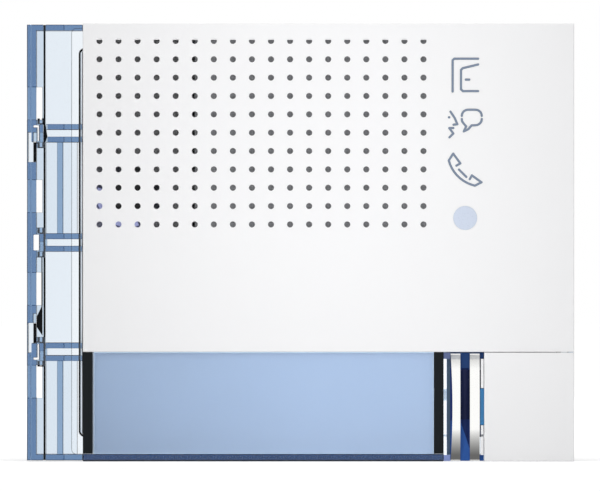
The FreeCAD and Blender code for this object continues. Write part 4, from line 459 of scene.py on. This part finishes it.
def seen_by_eye(tree):
    """One where a ray comes from the camera, off a glossy surface or through clear plastic."""
    path = add(tree, "ShaderNodeLightPath").outputs
    straight = reckon(tree, "MAXIMUM", path["Is Camera Ray"], path["Is Glossy Ray"])
    return reckon(tree, "MAXIMUM", straight, path["Is Transmission Ray"])


def in_mirror(tree):
    """One where a ray comes off a glossy surface."""
    return add(tree, "ShaderNodeLightPath").outputs["Is Glossy Ray"]


def floor_material():
    """Pale floor that looks white in the picture, keeps the shadow and is darker near the part in mirrors."""
    material = bpy.data.materials.new("floor")
    tree = emptied(material)
    place = own_place(tree)
    away = add(tree, "ShaderNodeVectorMath", {0: place}, operation="LENGTH").outputs["Value"]
    rise = spread(tree, away, GLOW_NEAR, GLOW_FAR, GLOW_LOW, GLOW_HIGH)
    lift = reckon(tree, "MULTIPLY", seen_by_eye(tree), rise)
    matt = add(tree, "ShaderNodeBsdfDiffuse", {"Color": FLOOR_COLOUR})
    glow = add(tree, "ShaderNodeEmission", {"Color": WHITE, "Strength": lift})
    both = add(tree, "ShaderNodeAddShader", {0: matt.outputs["BSDF"], 1: glow.outputs["Emission"]})
    depth = reckon(tree, "ABSOLUTE", coordinate(tree, place, "Y"))
    fade = spread(tree, depth, MIRROR_NEAR, MIRROR_FAR, MIRROR_LOW, 1.0)
    mirror = add(tree, "ShaderNodeEmission", {"Color": WHITE, "Strength": fade})
    choice = add(tree, "ShaderNodeMixShader", {
        "Fac": in_mirror(tree), 1: both.outputs["Shader"], 2: mirror.outputs["Emission"],
    })
    add(tree, "ShaderNodeOutputMaterial", {"Surface": choice.outputs["Shader"]})
    return material


def lay_floor():
    """A large square floor just below the part."""
    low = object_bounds()[0]
    half = FLOOR_SIZE / 2
    z = low.z - FLOOR_DROP
    mesh = bpy.data.meshes.new("floor")
    corners = [(-half, -half, z), (half, -half, z), (half, half, z), (-half, half, z)]
    mesh.from_pydata(corners, [], [(0, 1, 2, 3)])
    mesh.materials.append(floor_material())
    floor = bpy.data.objects.new("floor", mesh)
    bpy.context.scene.collection.objects.link(floor)


def make_sky():
    """White sky, dimmer as a light than to the eye, and dimmer still overhead in mirrors."""
    world = bpy.data.worlds.new("studio")
    bpy.context.scene.world = world
    tree = emptied(world)
    strength = spread(tree, seen_by_eye(tree), 0.0, 1.0, AMBIENT, 1.0)
    rise = coordinate(tree, add(tree, "ShaderNodeTexCoord").outputs["Generated"], "Z")
    overhead = spread(tree, rise, SKY_RISE, SKY_TOP, 0.0, 1.0 - SKY_LOW)
    level = reckon(tree, "SUBTRACT", strength, reckon(tree, "MULTIPLY", overhead, in_mirror(tree)))
    back = add(tree, "ShaderNodeBackground", {"Color": WHITE, "Strength": level})
    add(tree, "ShaderNodeOutputWorld", {"Surface": back.outputs["Background"]})


# Lamps and camera

def softbox(name, place, aim, width, height, brightness, glossy=True):
    """A rectangular soft lamp that the camera doesn't see."""
    data = bpy.data.lights.new(name, "AREA")
    data.shape = "RECTANGLE"
    data.size = width
    data.size_y = height
    data.energy = brightness * math.pi * width * height
    lamp = bpy.data.objects.new(name, data)
    bpy.context.scene.collection.objects.link(lamp)
    lamp.location = place
    lamp.rotation_euler = (Vector(aim) - Vector(place)).to_track_quat("-Z", "Y").to_euler()
    lamp.visible_camera = False
    lamp.visible_glossy = glossy
    return lamp


def faded(lamp, rise):
    """Makes a lamp fade towards its left and right edge, and brighter near the floor by a share."""
    lamp.data.use_nodes = True
    tree = lamp.data.node_tree
    place = add(tree, "ShaderNodeNewGeometry").outputs["Parametric"]
    arch = reckon(tree, "SINE", reckon(tree, "MULTIPLY", coordinate(tree, place, "X"), math.pi))
    slope = spread(tree, coordinate(tree, place, "Y"), LAMP_LOW, LAMP_HIGH, 1.0 + rise, 1.0)
    feed(tree, tree.nodes["Emission"].inputs["Strength"], reckon(tree, "MULTIPLY", arch, slope))


def place_camera():
    """The camera straight in front of the plate, so far away that the frame's width fills the picture."""
    data = bpy.data.cameras.new("camera")
    data.lens = LENS
    data.sensor_width = SENSOR
    camera = bpy.data.objects.new("camera", data)
    bpy.context.scene.collection.objects.link(camera)
    camera.location = (VIEW_X, PLATE_Y - FRAME_WIDTH * LENS / SENSOR, VIEW_Z)
    camera.rotation_euler = (math.radians(90), 0, 0)
    bpy.context.scene.camera = camera


lay_floor()
make_sky()
front_place = (FRONT_X, PLATE_Y - FRONT_AWAY, 0)
faded(
    softbox("front_box", front_place, (FRONT_X, 0, 0), FRONT_WIDTH, FRONT_HEIGHT, FRONT_LEVEL, glossy=False),
    LAMP_RISE,
)
for name, place, width, height, brightness in ROOM_LAMPS:
    softbox(name, place, (0, 0, 0), width, height, brightness)
place_camera()
bpy.context.scene.view_settings.view_transform = "Standard"
